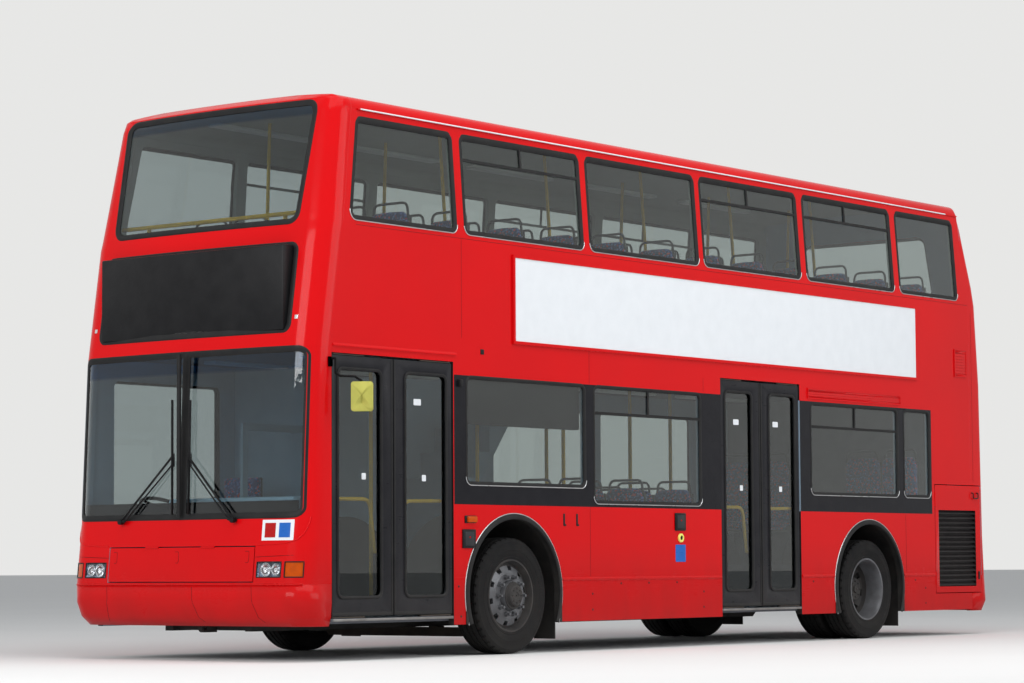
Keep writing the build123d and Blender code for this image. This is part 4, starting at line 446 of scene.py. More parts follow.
def turned(bm, points, centre, axis, steps):
    """Closed ring of revolution, from the points of its section."""
    verts, edges = ring_of(bm, points)
    bmesh.ops.spin(
        bm, geom=verts + edges, cent=centre, axis=axis, angle=2 * math.pi, steps=steps, use_merge=True
    )
    bmesh.ops.remove_doubles(bm, verts=bm.verts, dist=1e-6)
    bmesh.ops.recalc_face_normals(bm, faces=bm.faces)


def sweep(bm, frames, profile, closed=False):
    """Extrudes a closed profile of (along side, along up) points from frame to frame.

    A frame is (origin, side, up)."""

    def place(frame_at, point):
        origin, side, up = frame_at
        return origin + side * point[0] + up * point[1]

    ring, edges = ring_of(bm, [place(frames[0], p) for p in profile])
    first = ring
    if not closed:
        bmesh.ops.contextual_create(bm, geom=edges)
    for step in frames[1:] + frames[:closed]:
        fresh = set(verts_in(bmesh.ops.extrude_edge_only(bm, edges=edges)["geom"]))
        ring = [next(e.other_vert(v) for e in v.link_edges if e.other_vert(v) in fresh) for v in ring]
        for vert, point in zip(ring, profile):
            vert.co = place(step, point)
        edges = [bm.edges.get((ring[i - 1], ring[i])) for i in range(len(ring))]
    if closed:
        bmesh.ops.weld_verts(bm, targetmap=dict(zip(ring, first)))
    else:
        bmesh.ops.contextual_create(bm, geom=edges)
    bmesh.ops.recalc_face_normals(bm, faces=bm.faces)


def loop_frames(points, normals):
    """Mitred frames round a loop: side points away from the loop's middle, up along the normals."""
    centre = sum(points, Vector()) / len(points)
    frames = []
    for i, (point, normal) in enumerate(zip(points, normals)):
        into = (point - points[i - 1]).normalized()
        out = (points[(i + 1) % len(points)] - point).normalized()
        if into.length < 0.5:
            into = out
        if out.length < 0.5:
            out = into
        side = (into + out).normalized().cross(normal).normalized()
        widen = 1 / max(0.5, side.dot(into.cross(normal).normalized()))
        if side.dot(point - centre) < 0:
            side = -side
        frames.append((point, side * abs(widen), normal))
    return frames


def circle(radius, steps):
    turns = [2 * math.pi * i / steps for i in range(steps)]
    return [(radius * math.cos(turn), radius * math.sin(turn)) for turn in turns]


def rounded_corners(points, radius, steps=5):
    """Path with each inner corner turned by an arc."""
    path = [points[0]]
    for before, corner, after in zip(points, points[1:], points[2:]):
        into, out = (corner - before).normalized(), (after - corner).normalized()
        turn = into.angle(out)
        room = 0.49 * min((corner - before).length, (after - corner).length)
        reach = min(radius * math.tan(turn / 2), room)
        start, end = corner - into * reach, corner + out * reach
        for share in (i / steps for i in range(steps + 1)):
            path.append(start.lerp(corner, share).lerp(corner.lerp(end, share), share))
    return path + [points[-1]]


def tube(bm, points, radius, bend=0.0, steps=12):
    """Round tube along a path whose corners may be bent."""
    path = [Vector(p) for p in points]
    if bend:
        path = rounded_corners(path, bend)
    way = (path[-1] - path[0]).normalized()
    upward = UP if abs(way.z) < 0.9 else Vector((1, 0, 0))
    frames, side = [], None
    for i, point in enumerate(path):
        into, out = point - path[max(i - 1, 0)], path[min(i + 1, len(path) - 1)] - point
        tangent = (into.normalized() + out.normalized()).normalized()
        if side is None:
            side = tangent.cross(upward).normalized()
        side = (side - tangent * side.dot(tangent)).normalized()
        frames.append((point, side, side.cross(tangent)))
    sweep(bm, frames, circle(radius, steps))


def round_off(bm, edges, width, segments):
    return bmesh.ops.bevel(
        bm, geom=edges, offset=width, segments=segments, affect="EDGES", profile=0.5, material=-1
    )["faces"]


def cube(bm, low, high):
    """Box between two corners: its vertices and its edges."""
    low, high = Vector(low), Vector(high)
    verts = bmesh.ops.create_cube(bm, size=1.0)["verts"]
    bmesh.ops.scale(bm, vec=high - low, verts=verts)
    bmesh.ops.translate(bm, vec=(low + high) / 2, verts=verts)
    return verts, list(dict.fromkeys(e for v in verts for e in v.link_edges))


def block(bm, low, high, bevel=0.0, segments=2, turn=None):
    """Box with its edges rounded, turned by a matrix if one is given."""
    verts, edges = cube(bm, low, high)
    if bevel:
        faces = round_off(bm, edges, bevel, segments)
        verts = list(dict.fromkeys([v for f in faces for v in f.verts] + [v for v in verts if v.is_valid]))
    if turn:
        bmesh.ops.transform(bm, matrix=turn, verts=verts)


# Fittings that more than one section uses


def along_x(centre):
    """Way out of a side of the bus."""
    return Vector((math.copysign(1.0, centre.x), 0, 0))


def repaint(mesh, finish, chosen):
    """Gives the polygons that a test picks a further material."""
    mesh.materials.append(finish)
    for polygon in mesh.polygons:
        if chosen(polygon):
            polygon.material_index = len(mesh.materials) - 1


def lining_sides(mesh, outward, lining, least=0.35):
    """Lines the faces that don't look out of the bus."""
    repaint(mesh, lining, lambda polygon: polygon.normal.dot(outward(polygon.center)) < least)


def islands(bm):
    """Connected groups of faces."""
    left, groups = dict.fromkeys(bm.faces), []
    while left:
        grow, group = [left.popitem()[0]], []
        while grow:
            face = grow.pop()
            group.append(face)
            for other in (other for edge in face.edges for other in edge.link_faces):
                if other in left:
                    del left[other]
                    grow.append(other)
        groups.append(group)
    return groups


def pane_loops(node, outward):
    """Outline of each pane's outer face, as points with normals, in order."""
    bm = bmesh_of(NODES[node].data)
    bmesh.ops.remove_doubles(bm, verts=bm.verts, dist=1e-5)
    bm.normal_update()
    loops = []
    for group in islands(bm):
        out = outward(sum((face.calc_center_median() for face in group), Vector()) / len(group))
        outer = {face for face in group if face.normal.dot(out) > 0.45}
        edges = dict.fromkeys(edge for face in group if face in outer for edge in face.edges)
        rim = {edge for edge in edges if sum(f in outer for f in edge.link_faces) == 1}
        edge = next(edge for edge in edges if edge in rim)
        vert, path = edge.verts[0], []
        while edge:
            rim.discard(edge)
            normals = [face.normal for face in vert.link_faces if face in outer]
            path.append((vert.co.copy(), sum(normals, Vector()).normalized()))
            vert = edge.other_vert(vert)
            edge = next((e for e in vert.link_edges if e in rim), None)
        loops.append(thinned(path))
    bm.free()
    return loops


def thinned(path, sagitta=0.0004, apart=0.006):
    """Drops points that lie on the line between their neighbours, or nearly on the point before."""
    kept = [path[0]]
    for (point, normal), (after, _) in zip(path[1:], path[2:] + path[:1]):
        before = kept[-1][0]
        span = after - before
        if span.length < 1e-5 or (point - before).length < apart:
            continue
        if (point - before).cross(span.normalized()).length > sagitta:
            kept.append((point, normal))
    return kept


# Glazing rubber across the joint of pane and panel: out from the pane's edge, up from the pane's face
GLAZING = [(-0.019, -0.001), (-0.019, 0.006), (-0.010, 0.0135), (0.001, 0.0168), (0.010, 0.0155),
           (0.0135, 0.0118), (0.002, 0.0116), (0.0, -0.001)]
WIDE_GLAZING = [(-0.032, -0.001), (-0.032, 0.005), (-0.012, 0.0140), (0.002, 0.0175), (0.014, 0.0155),
                (0.018, 0.0118), (0.002, 0.0116), (0.0, -0.001)]
UPPER_HEAD = CANT_Z - 0.2


def glazing_rubbers(name, node, outward, profile):
    """One rubber round each pane of a node, wider along the head of the upper deck's side windows."""
    bm = bmesh.new()
    for path in pane_loops(node, outward):
        frames = loop_frames([p for p, n in path], [n for p, n in path])
        head = max(p.z for p, n in path)
        if node == "side_glass" and head > UPPER_HEAD:
            frames = [(p, side * (1.7 if p.z > head - 0.012 else 1.35), up) for p, side, up in frames]
        sweep(bm, frames, profile, closed=True)
    as_piece(name, bm, body_of_node(node), RUBBER, angle=50, slot="trim_black")


# Stage: floor, backdrop colour, lamps and camera

PALE = (0.80, 0.80, 0.79)
CAMERA_AT = (16.250, at(-19.337), 0.722)
CAMERA_YAW, CAMERA_PITCH, CAMERA_ROLL = 0.65983, 0.07538, -0.00569
FOCAL_PIXELS, IMAGE_PIXELS, SENSOR = 2970.5, 1024, 36.0


def set_camera():
    lens = bpy.data.cameras.new("camera")
    lens.sensor_width = SENSOR
    lens.lens = FOCAL_PIXELS * SENSOR / IMAGE_PIXELS
    lens.clip_end = 500.0
    camera = stand("camera", lens)
    turn = Matrix.Rotation(CAMERA_YAW, 4, "Z") @ Matrix.Rotation(math.pi / 2 + CAMERA_PITCH, 4, "X")
    camera.matrix_world = Matrix.Translation(CAMERA_AT) @ turn @ Matrix.Rotation(CAMERA_ROLL, 4, "Z")
    bpy.context.scene.camera = camera


def set_world():
    """Pale backdrop for what the camera, gloss and glass see, and an even sky for the rest."""
    world = bpy.data.worlds.new("studio")
    bpy.context.scene.world = world
    world.use_nodes = True
    tree = world.node_tree
    path = tree.nodes.new("ShaderNodeLightPath")
    seen = math_node(tree, "MAXIMUM", path.outputs["Is Camera Ray"], path.outputs["Is Glossy Ray"])
    seen = math_node(tree, "MAXIMUM", seen, path.outputs["Is Transmission Ray"])
    sky, backdrop = tree.nodes["Background"], tree.nodes.new("ShaderNodeBackground")
    sky.inputs["Color"].default_value = (0.93, 0.96, 1.0, 1)
    sky.inputs["Strength"].default_value = 0.45
    backdrop.inputs["Color"].default_value = (*PALE, 1)
    choose_shader(tree, seen, sky, backdrop, tree.nodes["World Output"])


# Softboxes: name, place, aim, width, height, power
SOFTBOXES = (
    ("sky_box", (6.0, -4.0, 13.0), (0.0, 0.0, 2.0), 14.0, 10.0, 1100.0),
    ("side_box", (15.0, 3.0, 7.0), (0.0, 0.5, 2.0), 12.0, 7.0, 800.0),
    ("front_box", (1.0, -18.0, 7.0), (0.0, -4.0, 2.0), 9.0, 6.0, 1150.0),
)


def set_lamps():
    for name, place, aim, width, height, power in SOFTBOXES:
        lamp = bpy.data.lights.new(name, "AREA")
        lamp.shape, lamp.size, lamp.size_y, lamp.energy = "RECTANGLE", width, height, power
        turn = (Vector(place) - Vector(aim)).to_track_quat("Z", "Y").to_matrix().to_4x4()
        stand(name, lamp).matrix_world = Matrix.Translation(place) @ turn


def lay_floor():
    bm = bmesh.new()
    bmesh.ops.create_circle(bm, cap_ends=True, segments=96, radius=300.0)
    mesh = mesh_of("floor", bm)
    finish = Finish("studio floor", PALE, 0.8, Specular_IOR_Level=0.1)
    shade = finish.group(MOTTLE, Colour_A=PALE, Colour_B=(0.77, 0.77, 0.76), Scale=0.35, Contrast=1.5)
    finish.colour(shade["Colour"])
    mesh.materials.append(finish.material)
    floor = stand("floor", mesh)


set_camera()
set_world()
set_lamps()
lay_floor()
bpy.context.scene.view_settings.view_transform = "Standard"

# Body panels and their linings

ALL_RED = (
    "front_bumper", "front_panel", "front_dome", "rear_panel", "rear_bumper", "rear_door", "front_flap",
    "nearside_lower_side", "offside_lower_side", "nearside_upper_side", "offside_upper_side", "roof",
    "engine_flap", "side_mouldings", "side_vents",
)


def from_middle(centre):
    """Way out of an end of the bus from a point inside it, level with the windows."""
    inside = Vector((0, math.copysign(4.2, centre.y), min(centre.z, 3.9)))
    return (centre - inside).normalized()


def roof_out(centre):
    """Way out of the roof from a line along the upper deck."""
    return Vector((centre.x, 0, centre.z - 3.7)).normalized()


OUTWARD = {
    "nearside_lower_side": along_x, "offside_lower_side": along_x, "nearside_upper_side": along_x,
    "offside_upper_side": along_x, "roof": roof_out, "nearside_band": along_x, "offside_band": along_x,
    "front_panel": from_middle, "front_dome": from_middle, "rear_panel": from_middle,
}

for node in ALL_RED:
    smooth = {"front_bumper": 45.0, "rear_bumper": 45.0, "front_flap": 8.0}.get(node, 25.0)
    skin = dress(node, RED, angle=smooth, slot="red_paint")
    if node in OUTWARD:
        upper = node == "roof" or "upper" in node or "dome" in node
        least = 0.35 if upper and OUTWARD[node] is not from_middle else -0.3
        lining_sides(skin.data, OUTWARD[node], LINING if upper else PALE_BLUE, least)
    if node.endswith("lower_side"):
        # Cut edges of the wheel arches, doorways and skirt
        repaint(skin.data, DARK_METAL, lambda polygon: abs(polygon.normal.x) < 0.35)
for node in ("nearside_band", "offside_band"):
    skin = dress(node, BLACK_GLOSS, slot="black_band")
    lining_sides(skin.data, along_x, PALE_BLUE)

PLAIN = {
    "front_glass": FRONT_GLASS, "side_glass": GLASS, "rear_glass": GLASS, "chassis_frame": DARK_METAL,
    "wheel_arches": DARK_METAL, "engine": IRON, "front_axle": IRON, "rear_axle": IRON, "knuckle_left": IRON,
    "knuckle_right": IRON, "lower_floor": FLOOR_VINYL, "upper_floor": FLOOR_VINYL, "staircase": LAMINATE,
    "cab_partition": LAMINATE, "cab_door": LAMINATE, "dashboard": DASH, "window_bars": RUBBER, "lamps": LENS,
    "side_board": WHITE,
}
for node, finish in PLAIN.items():
    paint(node, finish)
dress("grab_rails", YELLOW, slot="rail_yellow")
for node in ("steering_wheel", "mirrors", "wipers"):
    dress(node, SATIN_BLACK, angle=40.0, slot="trim_black")
for name in NODES:
    if name.endswith("_arms"):
        paint(name, IRON)

for piece_name, node, outward, profile in (
    ("side_window_rubbers", "side_glass", along_x, GLAZING),
    ("front_window_rubbers", "front_glass", lambda centre: Vector((0, -1, 0)), WIDE_GLAZING),
    ("rear_window_rubber", "rear_glass", lambda centre: Vector((0, 1, 0)), WIDE_GLAZING),
):
    glazing_rubbers(piece_name, node, outward, profile)

# Bright metal bead in the rubber's outer edge, laid round the lower part of each side window only: it stands
# in partly for the highlight along the rubber's lower lip, so it is partly a painted highlight
bright = bmesh.new()
for path in pane_loops("side_glass", along_x):
    heights = [p.z for p, n in path]
    foot, head = min(heights), max(heights)
    upper = head > UPPER_HEAD
    reach = foot + (0.16 if upper else 0.45) * (head - foot)
    frames = loop_frames([p for p, n in path], [n for p, n in path])
    run = [p + side * (0.0165 if upper else 0.0125) + up * 0.0150 for p, side, up in frames]
    first = max(range(len(run)), key=lambda i: run[i].z)
    run = run[first:] + run[:first]
    lower = [p for p in run if p.z < reach]
    if len(lower) > 2:
        tube(bright, lower, 0.0042, steps=8)
as_piece("window_lip_highlight_beads", bright, "body", BRIGHT, angle=60, slot="rim_steel")

# Painted highlight along the rain gutter above the upper windows: a white strip that stands in for the gloss
# on the gutter's edge
bright = bmesh.new()
for side in (1, -1):
    ends = (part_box("roof")[0].y + 0.10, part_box("roof")[1].y - 0.25)
    tube(bright, [(side * (CANT_X + 0.0125), y, CANT_Z + 0.008) for y in ends], 0.006, steps=10)
as_piece("gutter_painted_highlights", bright, "body", WHITE, angle=60, slot="board_white")

# Tyres and wheels


def turned_ring(bm, profile, station, steps):
    """Closed ring of revolution about a wheel's axle, from (x, radius) points."""
    points = [(x, station, WHEEL_Z + r) for x, r in profile]
    turned(bm, points, (0, station, WHEEL_Z), (1, 0, 0), steps)


TREAD_STEPS = 120
TYRE_HALF = 0.135
# Half of a tyre's section, from the bead to the middle of the tread: out from the middle, radius
TYRE_SECTION = (
    (0.112, 0.293), (0.122, 0.300), (0.1265, 0.318), (0.1245, 0.322), (0.1325, 0.350), (0.1345, 0.372),
    (0.1365, 0.375), (0.1345, 0.378), (0.1335, 0.402), (0.128, 0.430), (0.1295, 0.440), (0.121, 0.4635),
    (0.110, 0.4735), (0.084, 0.4762), (0.082, 0.4640), (0.072, 0.4640), (0.070, 0.4768), (0.030, 0.4778),
    (0.028, 0.4650), (0.018, 0.4650), (0.016, 0.4780),
)


def wheel_place(face, station):
    """Middle of a face, its distance from a wheel's axle, and its share of a turn round it."""
    centre = face.calc_center_median()
    arm = Vector((0, centre.y - station, centre.z - WHEEL_Z))
    return centre, arm.length, math.atan2(arm.y, arm.z) / (2 * math.pi)


def road_tyre(bm, centre, station):
    """Tyre with ribbed walls, four grooves round the tread and sipes across its shoulders."""
    near = [(centre - x, r) for x, r in TYRE_SECTION]
    far = [(centre + x, r) for x, r in reversed(TYRE_SECTION)]
    start = len(bm.faces)
    turned_ring(bm, near + far, station, TREAD_STEPS)
    bm.faces.ensure_lookup_table()
    shoulders = []
    for face in bm.faces[start:]:
        spot, reach, share = wheel_place(face, station)
        on_shoulder = 0.090 < abs(spot.x - centre) < 0.127 and reach > 0.452
        if on_shoulder and int(share % 1.0 * TREAD_STEPS) % 3 == 0:
            shoulders.append(face)
    bmesh.ops.inset_individual(bm, faces=shoulders, thickness=0.004, depth=-0.006)


FRONT_WHEEL_X = middle("front_tyre_left").x
REAR_OUTER_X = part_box("rear_tyres_left")[1].x - TYRE_HALF
TWIN_PITCH = 0.315
for side, sign in (("left", 1), ("right", -1)):
    for piece_name, node, centres, station in (
        (f"front_tread_{side}", f"front_tyre_{side}", [FRONT_WHEEL_X], FRONT_AXLE_Y),
        (f"rear_treads_{side}", f"rear_tyres_{side}", [REAR_OUTER_X, REAR_OUTER_X - TWIN_PITCH], REAR_AXLE_Y),
    ):
        bm = bmesh.new()
        for centre in centres:
            road_tyre(bm, sign * centre, station)
        piece = as_piece(piece_name, bm, body_of_node(node), TYRE, angle=28.0, slot="tyre_rubber")
        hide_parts(node)

STUDS = 10
STUD_CIRCLE = 0.150
RIM_STEPS = 80
HOLE_DEPTH = 0.03


def hexagon_stud(bm, centre_x, radius, turn, station, sign, length, size=0.016):
    """Wheel nut on its stud, pointing away from the bus."""
    y, z = station + radius * math.sin(turn), WHEEL_Z + radius * math.cos(turn)
    facing = Matrix.Rotation(sign * math.pi / 2, 4, "Y")
    for reach, width, steps in ((length * 0.5, size, 6), (length, size * 0.55, 12)):
        place = Matrix.Translation((centre_x + sign * reach / 2, y, z)) @ facing
        bmesh.ops.create_cone(
            bm, cap_ends=True, segments=steps, radius1=width, radius2=width * 0.92, depth=reach, matrix=place
        )


def stud_circle(bm, count, shift, centre_x, radius, station, sign, length, size=0.016):
    for i in range(count):
        hexagon_stud(bm, centre_x, radius, 2 * math.pi * (i + shift) / count, station, sign, length, size)


def wheel_holes(bm, radius_low, radius_high, station, count, share, sign):
    """Hand holes pressed through the disc between two radii."""
    chosen = []
    for face in bm.faces:
        reach, turn = wheel_place(face, station)[1:]
        if radius_low < reach < radius_high and face.normal.x * sign > 0.3 and turn * count % 1.0 < share:
            chosen.append(face)
    bmesh.ops.inset_region(bm, faces=chosen, thickness=0.004, depth=0.0)
    verts = verts_in(bmesh.ops.extrude_face_region(bm, geom=chosen)["geom"])
    bmesh.ops.translate(bm, vec=(-sign * HOLE_DEPTH, 0, 0), verts=verts)
    bmesh.ops.delete(bm, geom=[f for f in chosen if f.is_valid], context="FACES")
    for face in bm.faces:
        if all(v in verts for v in face.verts):
            face.material_index = 1


def front_wheel(bm, sign):
    """Front wheel: rim lip, disc with hand holes, stud circle and stepped hub."""
    c, h = FRONT_WHEEL_X, TYRE_HALF
    profile = [
        (c - h + 0.020, 0.262), (c - h + 0.020, 0.2915), (c + h - 0.030, 0.2915), (c + h - 0.018, 0.300),
        (c + h - 0.012, 0.299), (c + h - 0.012, 0.286), (c + h - 0.045, 0.270), (c + h - 0.062, 0.262),
        (c + h - 0.058, 0.246), (c + h - 0.040, 0.205), (c + h - 0.030, 0.188), (c + h - 0.030, 0.128),
        (c + h - 0.034, 0.122), (c + h + 0.010, 0.114), (c + h + 0.018, 0.110), (c + h + 0.018, 0.095),
        (c + h + 0.042, 0.084), (c + h + 0.048, 0.074), (c + h + 0.048, 0.030), (c + h + 0.043, 0.024),
        (c + h + 0.043, 0.006), (c + 0.010, 0.006), (c + 0.010, 0.150), (c + 0.020, 0.185),
        (c + h - 0.095, 0.240),
    ]
    turned_ring(bm, [(sign * x, r) for x, r in profile], FRONT_AXLE_Y, RIM_STEPS)
    wheel_holes(bm, 0.206, 0.246, FRONT_AXLE_Y, STUDS, 0.42, sign)
    stud_circle(bm, STUDS, 0.5, sign * (c + h - 0.031), STUD_CIRCLE + 0.008, FRONT_AXLE_Y, sign, 0.050, 0.023)
    stud_circle(bm, 8, 0, sign * (c + h + 0.045), 0.058, FRONT_AXLE_Y, sign, 0.010, 0.008)


def rear_wheel(bm, sign):
    """Twin rear wheel: outer rim dished deep, with its studs and hub."""
    c, h = REAR_OUTER_X, TYRE_HALF
    inner = c - TWIN_PITCH
    profile = [
        (inner - h + 0.02, 0.262), (inner - h + 0.02, 0.2915), (inner + h - 0.02, 0.2915),
        (inner + h - 0.02, 0.266),
        (c - h + 0.02, 0.266), (c - h + 0.02, 0.2915), (c + h - 0.030, 0.2915), (c + h - 0.018, 0.301),
        (c + h - 0.010, 0.299), (c + h - 0.012, 0.284), (c + h - 0.050, 0.268), (c - 0.040, 0.258),
        (c - 0.075, 0.240), (c - 0.100, 0.200), (c - 0.104, 0.180), (c - 0.104, 0.120), (c - 0.060, 0.112),
        (c - 0.015, 0.108), (c - 0.010, 0.100), (c - 0.010, 0.040), (c + 0.004, 0.034), (c + 0.008, 0.006),
        (c - 0.118, 0.006), (c - 0.118, 0.080), (c - 0.125, 0.150), (c - 0.150, 0.190), (c - 0.150, 0.250),
    ]
    turned_ring(bm, [(sign * x, r) for x, r in profile], REAR_AXLE_Y, RIM_STEPS)
    wheel_holes(bm, 0.185, 0.243, REAR_AXLE_Y, 8, 0.36, sign)
    stud_circle(bm, STUDS, 0.5, sign * (c - 0.105), STUD_CIRCLE, REAR_AXLE_Y, sign, 0.05)
    stud_circle(bm, 8, 0, sign * (c - 0.011), 0.075, REAR_AXLE_Y, sign, 0.010, 0.009)


for side, sign in (("left", 1), ("right", -1)):
    for place, build, axle_y in (("front", front_wheel, FRONT_AXLE_Y), ("rear", rear_wheel, REAR_AXLE_Y)):
        bm = bmesh.new()
        build(bm, sign)
        bmesh.ops.recalc_face_normals(bm, faces=bm.faces)
        node = f"{place}_rim_{side}"
        looks = [RIM, DARK_METAL, DARK_RIM]
        piece = as_piece(
            f"{place}_wheel_disc_{side}", bm, body_of_node(node), looks, angle=30.0, slot="rim_steel"
        )
        for polygon in piece.data.polygons:
            reach = math.hypot(polygon.center.y - axle_y, polygon.center.z - WHEEL_Z)
            if place == "front":
                dark = reach > 0.238 or reach < 0.112
            else:
                dark = REAR_OUTER_X - 0.055 > abs(polygon.center.x) or reach < 0.2
            if dark and polygon.material_index != 1:
                polygon.material_index = 2
        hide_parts(node)

# Doors


def rounded_rectangle(x, y0, y1, z0, z1, radius, steps):
    """Points round a rectangle across the bus's side, from the same corner whatever its size."""
    points = []
    for corner, (cy, cz) in enumerate(((y1, z1), (y0, z1), (y0, z0), (y1, z0))):
        middle_y = cy - radius if cy == y1 else cy + radius
        middle_z = cz - radius if cz == z1 else cz + radius
        for i in range(steps + 1):
            turn = math.pi / 2 * (corner + i / steps)
            points.append(Vector((x, middle_y + radius * math.cos(turn), middle_z + radius * math.sin(turn))))
    return points


def side_plate(bm, x, thick, outer, holes=(), outer_radius=0.004, radius=0.05, bevel=0.0):
    """Upright plate with rounded openings, drawn on one face and thickened away from it."""
    edges = ring_of(bm, rounded_rectangle(x, *outer, outer_radius, 4))[1]
    for hole in holes:
        edges += ring_of(bm, rounded_rectangle(x, *hole, radius, 4))[1]
    if holes:
        made = bmesh.ops.triangle_fill(bm, use_beauty=True, use_dissolve=True, edges=edges)["geom"]
        faces = [g for g in made if isinstance(g, bmesh.types.BMFace)]
    else:
        faces = bmesh.ops.contextual_create(bm, geom=edges)["faces"]
    grown = bmesh.ops.extrude_face_region(bm, geom=faces, use_keep_orig=True)["geom"]
    bmesh.ops.translate(bm, vec=(thick, 0, 0), verts=verts_in(grown))
    bmesh.ops.recalc_face_normals(bm, faces=bm.faces)
    if bevel:
        rim = [e for e in bm.edges if e.is_valid and len(e.link_faces) == 2 and e.calc_face_angle(0) > 1.2]
        round_off(bm, rim, bevel, 2)


def ring_frames(x, opening, radius, sign):
    """Frames round a rounded opening in the side, for a rubber."""
    points = rounded_rectangle(x, *opening, radius, 5)
    return loop_frames(points, [Vector((sign, 0, 0))] * len(points))


LEAF_RUBBER = [
    (-0.014, -0.001), (-0.014, 0.005), (-0.004, 0.011), (0.006, 0.0115), (0.011, 0.008), (0.012, -0.001)
]
# Leaves, and which way each one's nose points
LEAF_WAYS = {"front_door_fore": 1, "front_door_aft": -1, "centre_door_fore": 1, "centre_door_aft": -1}
GLASS_Z0, GLASS_DROP, OUTER_STILE, INNER_STILE = 0.486, 0.098, 0.068, 0.140
for node, way in LEAF_WAYS.items():
    low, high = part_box(node)
    body = body_of_node(node)
    tail, nose = (low.y, high.y) if way > 0 else (high.y, low.y)
    pane = (*sorted((tail + way * OUTER_STILE, nose - way * INNER_STILE)), GLASS_Z0, high.z - GLASS_DROP)
    plate = bmesh.new()
    side_plate(plate, low.x, high.x - low.x, (low.y, high.y, low.z, high.z), [pane], 0.006, 0.055, bevel=0.003)
    leaf = as_piece(f"{node}_leaf", plate, body, DOOR_BLACK, angle=30, slot="door_black")
    rubber = bmesh.new()
    for face_x, sign in ((high.x - 0.002, 1), (low.x + 0.002, -1)):
        sweep(rubber, ring_frames(face_x, pane, 0.055, sign), LEAF_RUBBER, closed=True)
    # Meeting rubbers down the nose of the leaf, and a brush along its foot
    nose_y = nose - way * 0.001
    block(rubber, (low.x + 0.004, min(nose_y, nose_y - way * 0.024), low.z + 0.004),
          (high.x + 0.004, max(nose_y, nose_y - way * 0.024), high.z - 0.004), 0.006, 3)
    block(rubber, (low.x + 0.008, low.y + 0.01, low.z + 0.001),
          (high.x + 0.002, high.y - 0.01, low.z + 0.030), 0.003)
    as_piece(f"{node}_rubbers", rubber, body, RUBBER, angle=50, slot="trim_black")
    sheet_glass = bmesh.new()
    mid_x = (low.x + high.x) / 2
    wide = (pane[0] - 0.006, pane[1] + 0.006, pane[2] - 0.006, pane[3] + 0.006)
    side_plate(sheet_glass, mid_x - 0.003, 0.006, wide, outer_radius=0.058)
    glass = as_piece(f"{node}_glass", sheet_glass, body, GLASS, slot="clear_glass")
    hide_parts(node)
    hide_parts(node)
    # Yellow rail inside the leaf
    rail = bmesh.new()
    rail_x = low.x - 0.045
    a, b = pane[0] + 0.02, pane[1] - 0.02
    if way > 0:
        path = [(rail_x, a, 1.243), (rail_x, b - 0.03, 1.247), (rail_x, b + 0.035, 0.835)]
    else:
        path = [(rail_x, a, 0.835), (rail_x, a + 0.06, 1.237), (rail_x, b + 0.035, 1.244)]
    tube(rail, path, 0.0155, bend=0.09, steps=12)
    for end in (path[0], path[-1]):
        tube(rail, [end, (low.x + 0.002, end[1], end[2])], 0.011, steps=10)
        foot = (low.x - 0.003, end[1], end[2])
        tube(rail, [foot, (low.x + 0.002, end[1], end[2])], 0.026, steps=16)
    as_piece(f"{node}_rail", rail, body, YELLOW, angle=50, slot="rail_yellow")

# Seats


def pad_block(low, high, crown):
    """Rounded upholstered block, for the cloth to swell."""
    bm = bmesh.new()
    round_off(bm, cube(bm, low, high)[1], crown, 4)
    return bm


def modified(piece):
    """Mesh that a piece's modifiers make of it; they are then taken off."""
    mesh = bpy.data.meshes.new_from_object(piece.evaluated_get(bpy.context.evaluated_depsgraph_get()))
    piece.modifiers.clear()
    return mesh


def swollen(name, bm, cap, voxel=0.012):
    """Mesh of a closed pad that cloth under pressure has blown up, by no more than a cap."""
    pad = stand(name, mesh_of(name, bm))
    bpy.context.view_layer.objects.active = pad
    remesh = pad.modifiers.new("remesh", "REMESH")
    remesh.mode, remesh.voxel_size = "VOXEL", voxel
    pad.data = modified(pad)
    rest = [v.co.copy() for v in pad.data.vertices]
    cloth = pad.modifiers.new("cloth", "CLOTH")
    cloth.settings.quality = 5
    cloth.settings.use_pressure = True
    cloth.settings.uniform_pressure_force = 4.0
    cloth.settings.tension_stiffness = 40.0
    cloth.settings.effector_weights.gravity = 0.0
    for step in range(1, 13):
        bpy.context.scene.frame_set(step)
    shaped = modified(pad)
    bpy.context.scene.frame_set(1)
    pad.data = shaped
    for vert, start in zip(shaped.vertices, rest):
        move = vert.co - start
        if move.length > cap:
            vert.co = start + move.normalized() * cap
    result = pad.data
    bpy.data.objects.remove(pad)
    return result


SEAT_W, CUSHION_D, CUSHION_T, BACK_T = 0.860, 0.430, 0.110, 0.060


def seat_cushion():
    """Double cushion at the origin: one padded form for each sitter, a seam's width apart."""
    halves = []
    for x0, x1 in ((0.010, SEAT_W / 2 - 0.004), (SEAT_W / 2 + 0.004, SEAT_W - 0.010)):
        part = pad_block((x0, 0.010, -CUSHION_T + 0.012), (x1, CUSHION_D - 0.006, -0.014), 0.030)
        halves.append(swollen("cushion form", part, 0.011))
    return bmesh_of(*halves)


# One side of a seat back: in from its edge, height
SHOULDER = ((0.004, 0.0), (0.004, 0.600), (0.020, 0.656), (0.063, 0.684))
BACK_TOP = 0.690


